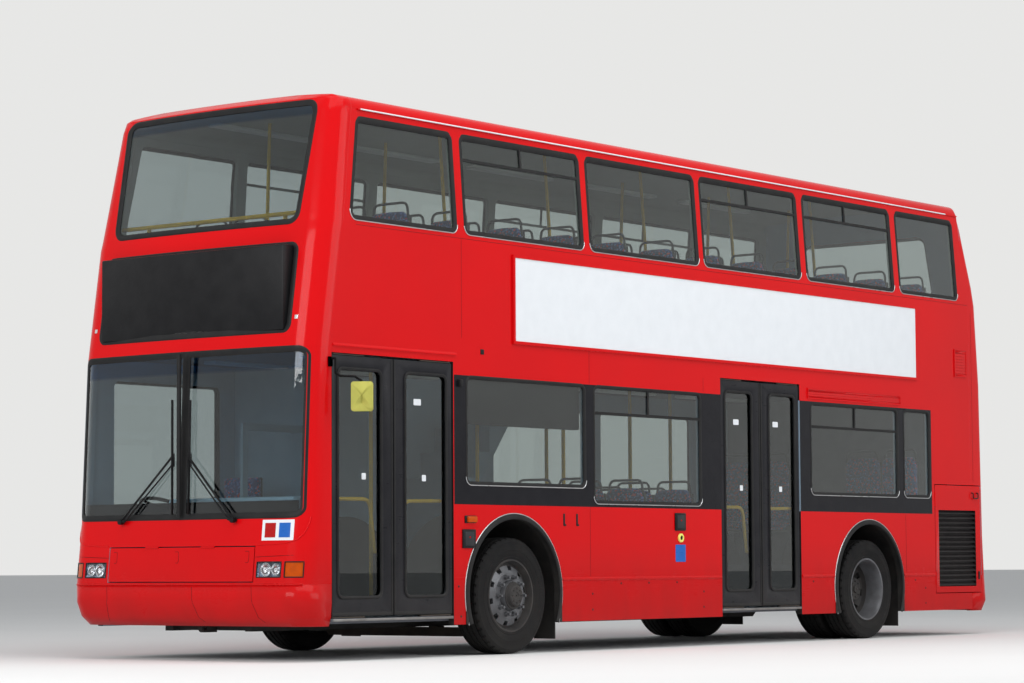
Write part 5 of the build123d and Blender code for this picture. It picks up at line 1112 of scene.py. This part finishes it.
def seat_back():
    """Double back at the origin, rounded at its shoulders: one padded form for each sitter."""
    halves = []
    for x0, x1 in ((0.006, SEAT_W / 2 - 0.003), (SEAT_W / 2 + 0.003, SEAT_W - 0.006)):
        part = bmesh.new()
        corners = [(x0 + inward, z) for inward, z in SHOULDER] + [((x0 + x1) / 2, BACK_TOP)]
        corners += [(x1 - inward, z) for inward, z in reversed(SHOULDER)]
        face = part.faces.new([part.verts.new((x, 0.008, z)) for x, z in corners])
        grown = bmesh.ops.extrude_face_region(part, geom=[face], use_keep_orig=True)["geom"]
        bmesh.ops.translate(part, vec=(0, BACK_T - 0.016, 0), verts=verts_in(grown))
        bmesh.ops.recalc_face_normals(part, faces=part.faces)
        round_off(part, [e for e in part.edges if e.calc_face_angle(0) > 1.2], 0.016, 3)
        halves.append(swollen("back form", part, 0.007))
    return bmesh_of(*halves)


def thinned_pad(bm, ratio=0.30):
    """Mesh of a pad with fewer faces, for seats that repeat."""
    pad = stand("pad", mesh_of("pad", bm))
    pad.modifiers.new("thin", "DECIMATE").ratio = ratio
    smooth = pad.modifiers.new("smooth", "SMOOTH")
    smooth.factor, smooth.iterations = 0.4, 2
    result = modified(pad)
    bpy.data.objects.remove(pad)
    return result


CUSHION_MESH, BACK_MESH = thinned_pad(seat_cushion()), thinned_pad(seat_back())

# Left edges of the double seats; rows as left edge, station and floor height
NEAR_X0, OFF_X0, PITCH = 0.330, -1.190, 0.740
LOWER_ROWS = [(NEAR_X0, y, 0.327) for y in (0.760, 1.500, 2.240)]
LOWER_ROWS += [(OFF_X0, y, 0.327) for y in (2.560, 3.300, 4.040)]
LOWER_ROWS += [(NEAR_X0, 6.250, 0.720), (OFF_X0, 6.250, 0.720)]
UPPER_ROWS = [(NEAR_X0, -1.700 + PITCH * k, 2.480) for k in range(12)]
UPPER_ROWS += [(OFF_X0, -1.700 + PITCH * k, 2.480) for k in range(3)]
UPPER_ROWS += [(OFF_X0, 2.560 + PITCH * k, 2.480) for k in range(6)]


def placed(bm, mesh, place):
    """Adds a copy of a mesh at a place."""
    start = len(bm.verts)
    bm.from_mesh(mesh)
    bm.verts.ensure_lookup_table()
    bmesh.ops.translate(bm, vec=place, verts=bm.verts[start:])


def upholstery(name, node, rows):
    """Cushions and backs of a deck's seats, and the shells, feet and handles that hold them."""
    soft, shells, handles = bmesh.new(), bmesh.new(), bmesh.new()
    for x0, station, base in rows:
        y = at(station)
        x1 = x0 + SEAT_W
        top = base + 0.450
        placed(soft, CUSHION_MESH, (x0, y, top))
        back_y = y + CUSHION_D + 0.0003
        placed(soft, BACK_MESH, (x0, back_y - 0.004, base + 0.390))
        # Moulded shell behind the back and under the cushion
        for a, b in ((x0 + 0.008, x0 + SEAT_W / 2 - 0.003), (x0 + SEAT_W / 2 + 0.003, x1 - 0.008)):
            shell_y = back_y + BACK_T
            block(shells, (a, shell_y - 0.010, base + 0.400), (b, shell_y, base + 1.030), 0.004, 1)
        foot, pad_foot = base + 0.0003, top - CUSHION_T - 0.002
        mid = (x0 + x1) / 2
        block(shells, (x0 + 0.012, y + 0.012, pad_foot),
              (x1 - 0.012, y + CUSHION_D - 0.01, pad_foot + 0.020), 0.006, 1)
        block(shells, (mid - 0.030, y + 0.080, foot), (mid + 0.030, y + 0.320, pad_foot), 0.008, 1)
        block(shells, (mid - 0.055, y + 0.050, foot), (mid + 0.055, y + 0.350, base + 0.010), 0.003, 1)
        handle_y, low_z, high_z = back_y + BACK_T / 2, base + 0.990, base + 1.140
        for a, b in ((x0 + 0.022, mid - 0.040), (mid + 0.040, x1 - 0.022)):
            corners = ((a, low_z), (a + 0.012, high_z), (b - 0.012, high_z), (b, low_z))
            tube(handles, [(x, handle_y, z) for x, z in corners], 0.011, bend=0.060, steps=8)
    pads = as_piece(name, soft, "body", MOQUETTE, angle=70, slot="seat_fabric")
    frame_piece = as_piece(f"{name}_shells", shells, "body", SEAT_SHELL, angle=40, slot="trim_black")
    grips = as_piece(f"{name}_handles", handles, "body", HANDLE_GREY, angle=50, slot="trim_black")
    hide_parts(node)
    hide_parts(node)
    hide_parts(node)


upholstery("lower_deck_pads", "lower_seats", LOWER_ROWS)
upholstery("upper_deck_pads", "upper_seats", UPPER_ROWS)

# Driver's seat: cushion and back, one padded form each, on a pedestal
cushion = pad_block((-0.995, at(-1.550), 0.795), (-0.565, at(-1.120), 0.868), 0.034)
back = pad_block((-0.985, at(-1.105), 0.900), (-0.575, at(-1.042), 1.480), 0.030)
pads = bmesh_of(swollen("driver cushion form", cushion, 0.012), swollen("driver back form", back, 0.010))
driver = as_piece("driver_pads", pads, "body", MOQUETTE, angle=70, slot="seat_fabric")
shell = bmesh.new()
block(shell, (-0.940, at(-1.480), 0.3273), (-0.620, at(-1.200), 0.770), 0.012, 2)
block(shell, (-1.000, at(-1.545), 0.770), (-0.560, at(-1.125), 0.798), 0.010, 2)
block(shell, (-0.975, at(-1.050), 0.860), (-0.585, at(-1.032), 1.470), 0.008, 2)
bracket = ((-1.160, 0.785), (-1.060, 0.800), (-1.040, 0.920))
tube(shell, [(-0.780, at(y), z) for y, z in bracket], 0.018, bend=0.05)
base = as_piece("driver_seat_shell", shell, "body", SEAT_SHELL, angle=40, slot="trim_black")
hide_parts("driver_seat")
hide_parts("driver_seat")

# Upper deck poles, from a seat's aisle corner to the ceiling
poles, sockets = bmesh.new(), bmesh.new()
for rows, way in ((UPPER_ROWS[0:12:2], 1), (UPPER_ROWS[12::2], -1)):
    for x0, station, base in rows:
        x = x0 + 0.022 if way > 0 else x0 + SEAT_W - 0.022
        y = at(station) + CUSHION_D + BACK_T / 2
        bent = [(x, y, base + 1.060), (x - way * 0.004, y, base + 1.100), (x - way * 0.05, y - 0.02, 4.392)]
        tube(poles, bent, 0.0150, bend=0.05)
        tube(sockets, [(x, y, base + 0.985), (x, y, base + 1.110)], 0.021, steps=14)
as_piece("upper_deck_poles", poles, "body", YELLOW, angle=60, slot="rail_yellow")
as_piece("upper_pole_sockets", sockets, "body", HANDLE_GREY, angle=40, slot="trim_black")

# Small parts on the sides


def surface_tree(*nodes):
    """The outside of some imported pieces, to find points on."""
    bm = bmesh_of(*(NODES[node].data for node in nodes))
    tree = BVHTree.FromBMesh(bm)
    bm.free()
    return tree


FRONT_SKIN = surface_tree("front_panel", "front_flap", "front_bumper", "front_dome")
FRONT_GLASSES = surface_tree("front_glass")
FRONT, REAR = -1, 1
END_Y = {FRONT: at(-2.64), REAR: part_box("rear_panel")[1].y}


def on_end(x, z, tree=FRONT_SKIN, end=FRONT):
    """Point and outward normal on an end of the bus, seen from straight before it."""
    point, normal = tree.ray_cast(Vector((x, end * 9.0, z)), Vector((0, -end, 0)))[:2]
    return (point, normal) if point else (Vector((x, END_Y[end], z)), Vector((0, end, 0)))


def grid_plate(bm, columns, rows, place, thick):
    """Thin plate over a grid; place gives a point from its shares of the width and the height."""
    face_verts = bmesh.ops.create_grid(bm, x_segments=columns, y_segments=rows, size=0.5)["verts"]
    for vert in face_verts:
        vert.co = place(vert.co.x + 0.5, vert.co.y + 0.5)
    faces = list(dict.fromkeys(f for v in face_verts for f in v.link_faces))
    grown = bmesh.ops.extrude_face_region(bm, geom=faces, use_keep_orig=True)["geom"]
    bmesh.ops.translate(bm, vec=(0, thick, 0), verts=verts_in(grown))
    bmesh.ops.recalc_face_normals(bm, faces=bm.faces)


def front_patch(bm, x0, x1, z0, z1, proud, columns=8, rows=4):
    """Thin plate that lies on the bowed nose."""

    def place(across, up):
        point, normal = on_end(x0 + across * (x1 - x0), z0 + up * (z1 - z0))
        return point + normal * proud

    grid_plate(bm, columns, rows, place, proud + 0.002)


def bead(bm, points, radius, tree=FRONT_SKIN, end=FRONT, parts=8):
    """Bead along an end of the bus through (x, z) points."""
    run = []
    for (x0, z0), (x1, z1) in zip(points, points[1:]):
        run += [(x0 + (x1 - x0) * i / parts, z0 + (z1 - z0) * i / parts) for i in range(parts)]
    tube(bm, [on_end(x, z, tree, end)[0] for x, z in run + points[-1:]], radius, steps=8)


def side_block(bm, y0, y1, z0, z1, proud, bevel, side=1, sunk=0.002):
    """Rounded box standing on the side of the bus."""
    xs = sorted((side * (SIDE_X - sunk), side * (SIDE_X + proud)))
    block(bm, (xs[0], at(y0), z0), (xs[1], at(y1), z1), bevel, 3)


def domed_head(bm, x, y, z, radius, rise, side=1):
    """Screw head with a domed top, on the side of the bus."""
    place = Matrix.Translation((x, y, z)) @ Matrix.Rotation(side * math.pi / 2, 4, "Y")
    bmesh.ops.create_cone(
        bm, cap_ends=True, segments=10, radius1=radius, radius2=radius * 0.55, depth=rise, matrix=place
    )


def as_pieces(table):
    """Pieces of the body from rows of name, bmesh, finish, angle and slot."""
    for name, bm, finish, angle, slot in table:
        as_piece(name, bm, "body", finish, angle, slot)


amber, black, grey, red_button, blue = (bmesh.new() for _ in range(5))
for side in (1, -1):
    side_block(black, -0.653, -0.507, 1.068, 1.128, 0.008, 0.004, side)
    side_block(amber, -0.629, -0.513, 1.073, 1.123, 0.028, 0.010, side)
for y0, y1, z0, z1 in ((-0.686, -0.518, 0.866, 1.018), (2.313, 2.476, 1.024, 1.180)):
    side_block(black, y0, y1, z0, z1, 0.014, 0.008)
    side_block(grey, y0 + 0.026, y1 - 0.026, z0 + 0.020, z1 - 0.020, 0.017, 0.004)
    mid_y, mid_z = (y0 + y1) / 2, (z0 + z1) / 2 + 0.012
    domed_head(red_button, SIDE_X + 0.018, at(mid_y), mid_z, 0.010, 0.008)
side_block(black, -0.735, -0.695, 2.165, 2.222, 0.030, 0.008)
side_block(black, -0.437, -0.393, 2.440, 2.482, 0.005, 0.003)
ring = bmesh.new()
RING_SECTION = ((0.0, 0.040), (0.014, 0.038), (0.018, 0.030), (0.016, 0.022), (0.0, 0.022))
button_y, button_z = at(2.402), 0.960
points = [(SIDE_X - 0.001 + x, button_y, button_z + r) for x, r in RING_SECTION]
turned(ring, points, (0, button_y, button_z), (1, 0, 0), 32)
domed_head(black, SIDE_X + 0.006, button_y, button_z, 0.0215, 0.012)
side_plate(blue, SIDE_X - 0.001, 0.0022, (at(2.323), at(2.481), 0.749, 0.901), outer_radius=0.008)
# Latches behind the front arch
for y in (0.684, 0.866):
    side_block(black, y - 0.012, y + 0.012, 1.056, 1.157, 0.0035, 0.003)
    side_block(black, y - 0.006, y + 0.026, 1.054, 1.070, 0.006, 0.003)
as_pieces((
    ("ramp_button_ring", ring, BOSS_YELLOW, 35, "rail_yellow"),
    ("side_repeaters", amber, AMBER, 40, "lamp_lens"),
    ("side_fittings", black, SATIN_BLACK, 40, "trim_black"),
    ("control_faces", grey, HANDLE_GREY, 40, "trim_black"),
    ("control_buttons", red_button, RED_LENS, 40, "lamp_lens"),
    ("blank_blue_sign", blue, SIGN_BLUE, 40, "panel_blue"),
))

# Arch trim: rolled black lip with a bright edge
black, bright = bmesh.new(), bmesh.new()
ARCH_R, ARCH_Z, ARCH_FOOT_Z, ARCH_STEPS = 0.613, 0.500, 0.262, 56
ARCH_LIP = [(-0.004, -0.001), (-0.010, 0.010), (-0.004, 0.017), (0.012, 0.018), (0.028, 0.0125),
            (0.036, 0.004), (0.036, -0.001)]
low_turn = math.asin((ARCH_Z - ARCH_FOOT_Z) / ARCH_R)
turns = [-low_turn + (math.pi + 2 * low_turn) * i / ARCH_STEPS for i in range(ARCH_STEPS + 1)]
arms = [Vector((0, math.cos(turn), math.sin(turn))) for turn in turns]
for station in (FRONT_AXLE_Y, REAR_AXLE_Y):
    for side in (1, -1):
        centre = Vector((side * SIDE_X, station, ARCH_Z))
        sweep(black, [(centre + arm * ARCH_R, arm, Vector((side, 0, 0))) for arm in arms], ARCH_LIP)
        edge = [centre + Vector((side * 0.002, 0, 0)) + arm * (ARCH_R + 0.038) for arm in arms]
        tube(bright, edge, 0.0045, steps=8)
as_pieces((
    ("arch_rubbers", black, RUBBER, 45, "trim_black"), ("arch_bright_edges", bright, BRIGHT, 60, "rim_steel")
))

# Screws and panel seams
screws, seams = bmesh.new(), bmesh.new()
for y, z in (
    (1.498, 0.567), (1.913, 0.569), (2.342, 0.570), (1.083, 0.482), (1.084, 0.348), (2.763, 0.484),
    (2.763, 0.348),
    (4.600, 0.560), (6.500, 0.560), (6.700, 0.480), (6.700, 0.330), (-0.700, 0.320), (-0.730, 0.560),
):
    for side in (1, -1):
        domed_head(screws, side * (SIDE_X + 0.0015), at(y), z, 0.011, 0.005, side)
SEAMS = (
    (1, 1.056, 0.630, 1.214), (1, 6.330, 0.640, 1.214), (1, -0.680, 2.560, 3.360), (1, 1.055, 2.262, 2.590),
    (1, 2.783, 2.275, 2.395), (1, 7.700, 1.560, 3.300), (-1, 1.056, 0.630, 1.214), (-1, 3.200, 0.640, 1.214),
    (-1, -0.680, 2.560, 3.360), (-1, 1.055, 2.262, 3.340), (-1, 4.200, 2.262, 3.340),
)


def side_seam(side, y0, y1, z0, z1):
    x = side * (SIDE_X - 0.0006)
    tube(seams, [(x, at(y0), z0), (x, at(y1), z1)], 0.0019, steps=8)


for side, y, z0, z1 in SEAMS:
    side_seam(side, y, y, z0, z1)
for side in (1, -1):
    side_seam(side, -1.980, 7.640, 3.3695, 3.3695)
as_pieces((
    ("side_screws", screws, RUBBER, 40, "trim_black"), ("side_seams", seams, SEAM, 60, "trim_black")
))

# Small parts on the nose
white, blue, red_sign, seam, silver, latches, ledge = (bmesh.new() for _ in range(7))
front_patch(white, 0.842, 1.140, 0.925, 1.082, 0.0016)
front_patch(blue, 1.008, 1.112, 0.947, 1.058, 0.0030)
front_patch(red_sign, 0.870, 0.974, 0.947, 1.058, 0.0030)
for x in (-0.712, -0.026, 0.705):
    shape = [(-0.020, 0.845), (0.014, 0.845), (0.020, 0.835), (0.020, 0.770), (0.012, 0.758), (-0.012, 0.758)]
    bead(latches, [(x + across, z) for across, z in shape], 0.0016)
as_piece("front_flap_latches", latches, body_of_node("front_flap"), SEAM, angle=60, slot="trim_black")
for x, lean in ((-0.790, -0.030), (0.150, 0.030), (0.765, 0.030)):
    bead(seam, [(x, 0.575), (x, 0.480), (x + lean, 0.340), (x + 2 * lean, 0.300)], 0.0018)
for side in (1, -1):
    bead(seam, [(side * 0.790, 0.800), (side * 1.150, 0.812)], 0.0018)
    front_patch(silver, side * 1.070, side * 1.100, 2.615, 2.645, 0.004, 4, 4)
# Mouldings pressed into the nose: bumper lip, and the ledge that turns up at each corner
LEDGE = (
    (0.800, 0.893), (0.950, 0.898), (1.080, 0.905), (1.165, 0.928), (1.205, 0.975), (1.225, 1.040),
    (1.232, 1.100)
)
bead(ledge, [(-1.215, 0.592), (-0.9, 0.592), (0.9, 0.592), (1.215, 0.592)], 0.0065)
for side in (1, -1):
    bead(ledge, [(side * x, z) for x, z in LEDGE], 0.0060)
as_pieces((
    ("blank_front_sign", white, WHITE, 35, "board_white"),
    ("blank_sign_blue_field", blue, SIGN_BLUE, 35, "panel_blue"),
    ("blank_sign_red_field", red_sign, RED_LENS, 35, "red_paint"),
    ("front_seams", seam, SEAM, 60, "trim_black"),
    ("roof_marker_reflectors", silver, REFLECTOR, 35, "lamp_lens"),
    ("nose_mouldings", ledge, RED, 60, "red_paint"),
))

# Second rod of each wiper arm, with the caps on the spindles and the clips on the blades
rods = bmesh.new()
for pivot_x, clip_x, clip_z in ((0.569, 0.086, 1.580), (-0.645, -0.0985, 1.584)):
    way = math.copysign(1.0, pivot_x)
    start = on_end(pivot_x - way * 0.052, 1.092)[0] + Vector((0, -0.034, 0))
    end = on_end(clip_x, clip_z - 0.055, FRONT_GLASSES)[0] + Vector((0, -0.030, 0))
    tube(rods, [start, end], 0.0065, steps=10)
    hub = on_end(pivot_x, 1.085)[0]
    tube(rods, [hub + Vector((0, -0.050, 0)), hub + Vector((0, -0.018, 0))], 0.022, steps=16)
    tube(rods, [hub + Vector((0, -0.034, 0)), start], 0.010, steps=10)
    mid = on_end(clip_x, clip_z, FRONT_GLASSES)[0] + Vector((0, -0.028, 0))
    block(rods, mid + Vector((-0.016, -0.006, -0.075)), mid + Vector((0.016, 0.008, 0.030)), 0.005, 2)

# Windscreen: bar down the middle, dark band along its foot
bar_bm, band_bm = bmesh.new(), bmesh.new()
BAR_FOOT, BAR_HEAD = 1.115, 2.385
SCREEN_AND_NOSE = surface_tree("front_glass", "front_panel", "front_dome")
heights = [BAR_FOOT + (BAR_HEAD - BAR_FOOT) * i / 16 for i in range(17)]
frames = [(on_end(0.006, z, SCREEN_AND_NOSE)[0], Vector((1, 0, 0)), Vector((0, -1, 0))) for z in heights]
BAR = [(-0.018, -0.004), (-0.018, 0.010), (-0.010, 0.018), (0.010, 0.018), (0.018, 0.010), (0.018, -0.004)]
sweep(bar_bm, frames, BAR)
for x0, x1 in ((-1.150, -0.012), (0.024, 1.150)):
    grid_plate(
        band_bm, 24, 2,
        lambda across, up: on_end(x0 + across * (x1 - x0), 1.118 + up * 0.110, FRONT_GLASSES)[0]
        + Vector((0, 0.0075, 0)), 0.002,
    )

# Blind boxes behind the front and side glass, with plain dark faces
box_bm = bmesh.new()
block(box_bm, (-0.985, at(-2.520), 2.535), (0.985, at(-2.350), 3.195), 0.012, 2)
block(box_bm, (1.150, at(-0.600), 1.870), (1.215, at(0.970), 2.250), 0.010, 2)
as_pieces((
    ("wiper_second_rods", rods, SATIN_BLACK, 50, "trim_black"),
    ("windscreen_bar", bar_bm, RUBBER, 50, "trim_black"),
    ("windscreen_foot_band", band_bm, BLACK_GLOSS, 35, "trim_black"),
    ("blind_boxes", box_bm, SATIN_BLACK, 35, "trim_black"),
))

# Lamps: covers by colour, silver bowls in the headlamps, black rims round all
lamp_skin = dress("lamps", [LENS, AMBER, RED_LENS], angle=30.0, slot="lamp_lens")
for polygon in lamp_skin.data.polygons:
    x, y, z = polygon.center
    if y < 0:
        polygon.material_index = 0 if abs(x) < 1.07 else 1
    else:
        polygon.material_index = 1 if z > 1.98 else 2
bowls, rims = bmesh.new(), bmesh.new()
LAMP_SKIN = surface_tree("lamps")
PANEL_AND_LAMPS = surface_tree("front_panel", "lamps")
BOWL = [(0.052, 0.008), (0.049, 0.008), (0.044, 0.022), (0.030, 0.034), (0.012, 0.040), (0.012, 0.030),
        (0.009, 0.020), (0.0005, 0.016), (0.0005, 0.044), (0.034, 0.040), (0.049, 0.026)]
HEADLAMP_Z = 0.704


def frame_of(side, x0, x1, z0, z1):
    """Corners round a lamp, back to the first one."""
    return [(side * x, z) for x, z in ((x0, z0), (x1, z0), (x1, z1), (x0, z1), (x0, z0))]


for side in (1, -1):
    for x, size in ((0.892, 1.0), (0.990, 0.86)):
        face_y = on_end(side * x, HEADLAMP_Z, LAMP_SKIN)[0].y
        points = [(side * x + r * size, face_y + depth, HEADLAMP_Z) for r, depth in BOWL]
        turned(bowls, points, (side * x, 0, HEADLAMP_Z), (0, 1, 0), 32)
    for x0, x1 in ((0.812, 1.050), (1.085, 1.215)):
        bead(rims, frame_of(side, x0, x1, 0.646, 0.762), 0.0045, PANEL_AND_LAMPS)

# Rear end: rims round the lamps, and panel joints
REAR_SKIN = surface_tree("rear_panel", "rear_bumper", "lamps")
rear_rims, rear_joints = bmesh.new(), bmesh.new()
# Rear lamps: inner edge, outer edge, foot, head
REAR_LAMPS = (
    (1.010, 1.150, 1.620, 1.780), (1.010, 1.150, 1.810, 1.970), (1.010, 1.150, 2.000, 2.160),
    (0.910, 1.130, 0.430, 0.530),
)
for edges in REAR_LAMPS:
    for side in (1, -1):
        bead(rear_rims, frame_of(side, *edges), 0.0060, REAR_SKIN, REAR, 6)
for joint in (
    [(0.960, 0.640), (0.960, 2.420)], [(-0.960, 0.640), (-0.960, 2.420)], [(-0.960, 2.420), (0.960, 2.420)]
):
    bead(rear_joints, joint, 0.0018, REAR_SKIN, REAR, 6)
as_pieces((
    ("headlamp_bowls", bowls, REFLECTOR, 40, "lamp_lens"), ("lamp_rims", rims, SATIN_BLACK, 60, "trim_black"),
    ("rear_lamp_rims", rear_rims, SATIN_BLACK, 60, "trim_black"),
    ("rear_seams", rear_joints, SEAM, 60, "trim_black"),
))

# Mirrors: yellow housings on black arms, each with its glass
MIRROR_Y = at(-2.150)


def in_housing(polygon):
    x, y, z = polygon.center
    return abs(x) > SIDE_X + 0.11 and 1.900 < z < 2.1335 and abs(y - MIRROR_Y) < 0.12


repaint(dress("mirrors", SATIN_BLACK, angle=35.0, slot="trim_black").data, BOSS_YELLOW, in_housing)
glass_bm = bmesh.new()
for side in (1, -1):
    turn = Matrix.Rotation(side * math.atan2(0.58, 0.81), 4, "Z")
    place = Matrix.Translation((side * (SIDE_X + 0.205), MIRROR_Y, 2.018)) @ turn
    block(glass_bm, (-0.074, 0.0215, -0.103), (0.074, 0.0255, 0.103), 0.0015, 1, place)
as_piece("mirror_glasses", glass_bm, "body", REFLECTOR, slot="trim_black")


# Engine flap: black louvre, handle and latch
def in_grille(polygon):
    x, y, z = polygon.center
    return at(6.980) < y < at(7.737) and 0.488 < z < 1.262 or x < SIDE_X - 0.004


repaint(bpy.data.objects["engine_flap_skin"].data, GRILLE_BLACK, in_grille)
flap_body = body_of_node("engine_flap")
flap_bits, mesh_bm = bmesh.new(), bmesh.new()
HANDLE = (
    (-0.002, 7.660, 1.440), (0.022, 7.660, 1.440), (0.022, 7.660, 1.385), (0.022, 7.760, 1.385),
    (0.022, 7.760, 1.440), (-0.002, 7.760, 1.440),
)
tube(flap_bits, [(SIDE_X + proud, at(y), z) for proud, y, z in HANDLE], 0.006, bend=0.015, steps=8)
side_block(flap_bits, 7.775, 7.800, 0.560, 0.640, 0.010, 0.004)
as_piece("engine_flap_handle", flap_bits, flap_body, SATIN_BLACK, angle=50, slot="trim_black")
side_plate(mesh_bm, SIDE_X - 0.034, 0.002, (at(6.975), at(7.742), 0.485, 1.265))
as_piece("engine_flap_screen", mesh_bm, flap_body, GRILLE_BLACK, slot="trim_black")

# Worn metal edge below each doorway, and blank labels on the door glass
steps_bm = bmesh.new()
for first, last in (("front_door_fore", "front_door_aft"), ("centre_door_fore", "centre_door_aft")):
    y0, y1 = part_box(first)[0].y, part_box(last)[1].y
    block(steps_bm, (SIDE_X - 0.008, y0 + 0.002, 0.3050), (SIDE_X + 0.005, y1 - 0.002, 0.3245), 0.004, 2)
as_piece("door_step_edges", steps_bm, "body", STEP_METAL, angle=45, slot="rim_steel")

for node in LEAF_WAYS:
    low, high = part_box(node)
    mid = (low.y + high.y) / 2
    body = body_of_node(node)
    sticker = bmesh.new()
    face_x = (low.x + high.x) / 2 + 0.0028
    for y, z, w, h in ((mid - 0.05, 2.020, 0.090, 0.050), (mid + 0.03, 1.420, 0.050, 0.050)):
        side_plate(sticker, face_x, 0.0008, (y - w / 2, y + w / 2, z - h / 2, z + h / 2), outer_radius=0.006)
    as_piece(f"{node}_blank_labels", sticker, body, WHITE, slot="board_white")

# Cabin: ceiling lights, ledges of the dash and driver's instruments
lights, shelf, dials = bmesh.new(), bmesh.new(), bmesh.new()
# Rows of lights: middle, half width, foot, head
for x, half, z0, z1 in (
    (-0.66, 0.07, 2.392, 2.419), (0.40, 0.07, 2.392, 2.419),
    (-0.62, 0.06, 4.355, 4.385), (0.62, 0.06, 4.355, 4.385),
):
    for y0 in (-1.60, 0.10, 1.80, 3.50, 5.20):
        block(lights, (x - half, at(y0), z0), (x + half, at(y0 + 1.20), z1), 0.010, 2)
block(shelf, (-0.300, at(-2.455), 1.060), (1.040, at(-2.330), 1.262), 0.030, 4)
block(shelf, (-1.080, at(-2.440), 1.060), (-0.420, at(-2.300), 1.232), 0.050, 4)
block(dials, (-1.020, at(-2.360), 1.020), (-0.540, at(-2.180), 1.130), 0.030, 3)
for x in (-0.870, -0.690):
    place = Matrix.Translation((x, at(-2.176), 1.075)) @ Matrix.Rotation(math.pi / 2, 4, "X")
    bmesh.ops.create_cone(
        dials, cap_ends=True, segments=24, radius1=0.045, radius2=0.040, depth=0.012, matrix=place
    )
as_pieces((
    ("ceiling_lights", lights, LIGHT_STRIP, 40, "board_white"),
    ("dash_ledges", shelf, DASH_BLUE, 40, "panel_blue"),
    ("driver_binnacle", dials, SATIN_BLACK, 40, "trim_black"),
))


def write_sizes():
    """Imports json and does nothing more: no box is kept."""
    import json


write_sizes()
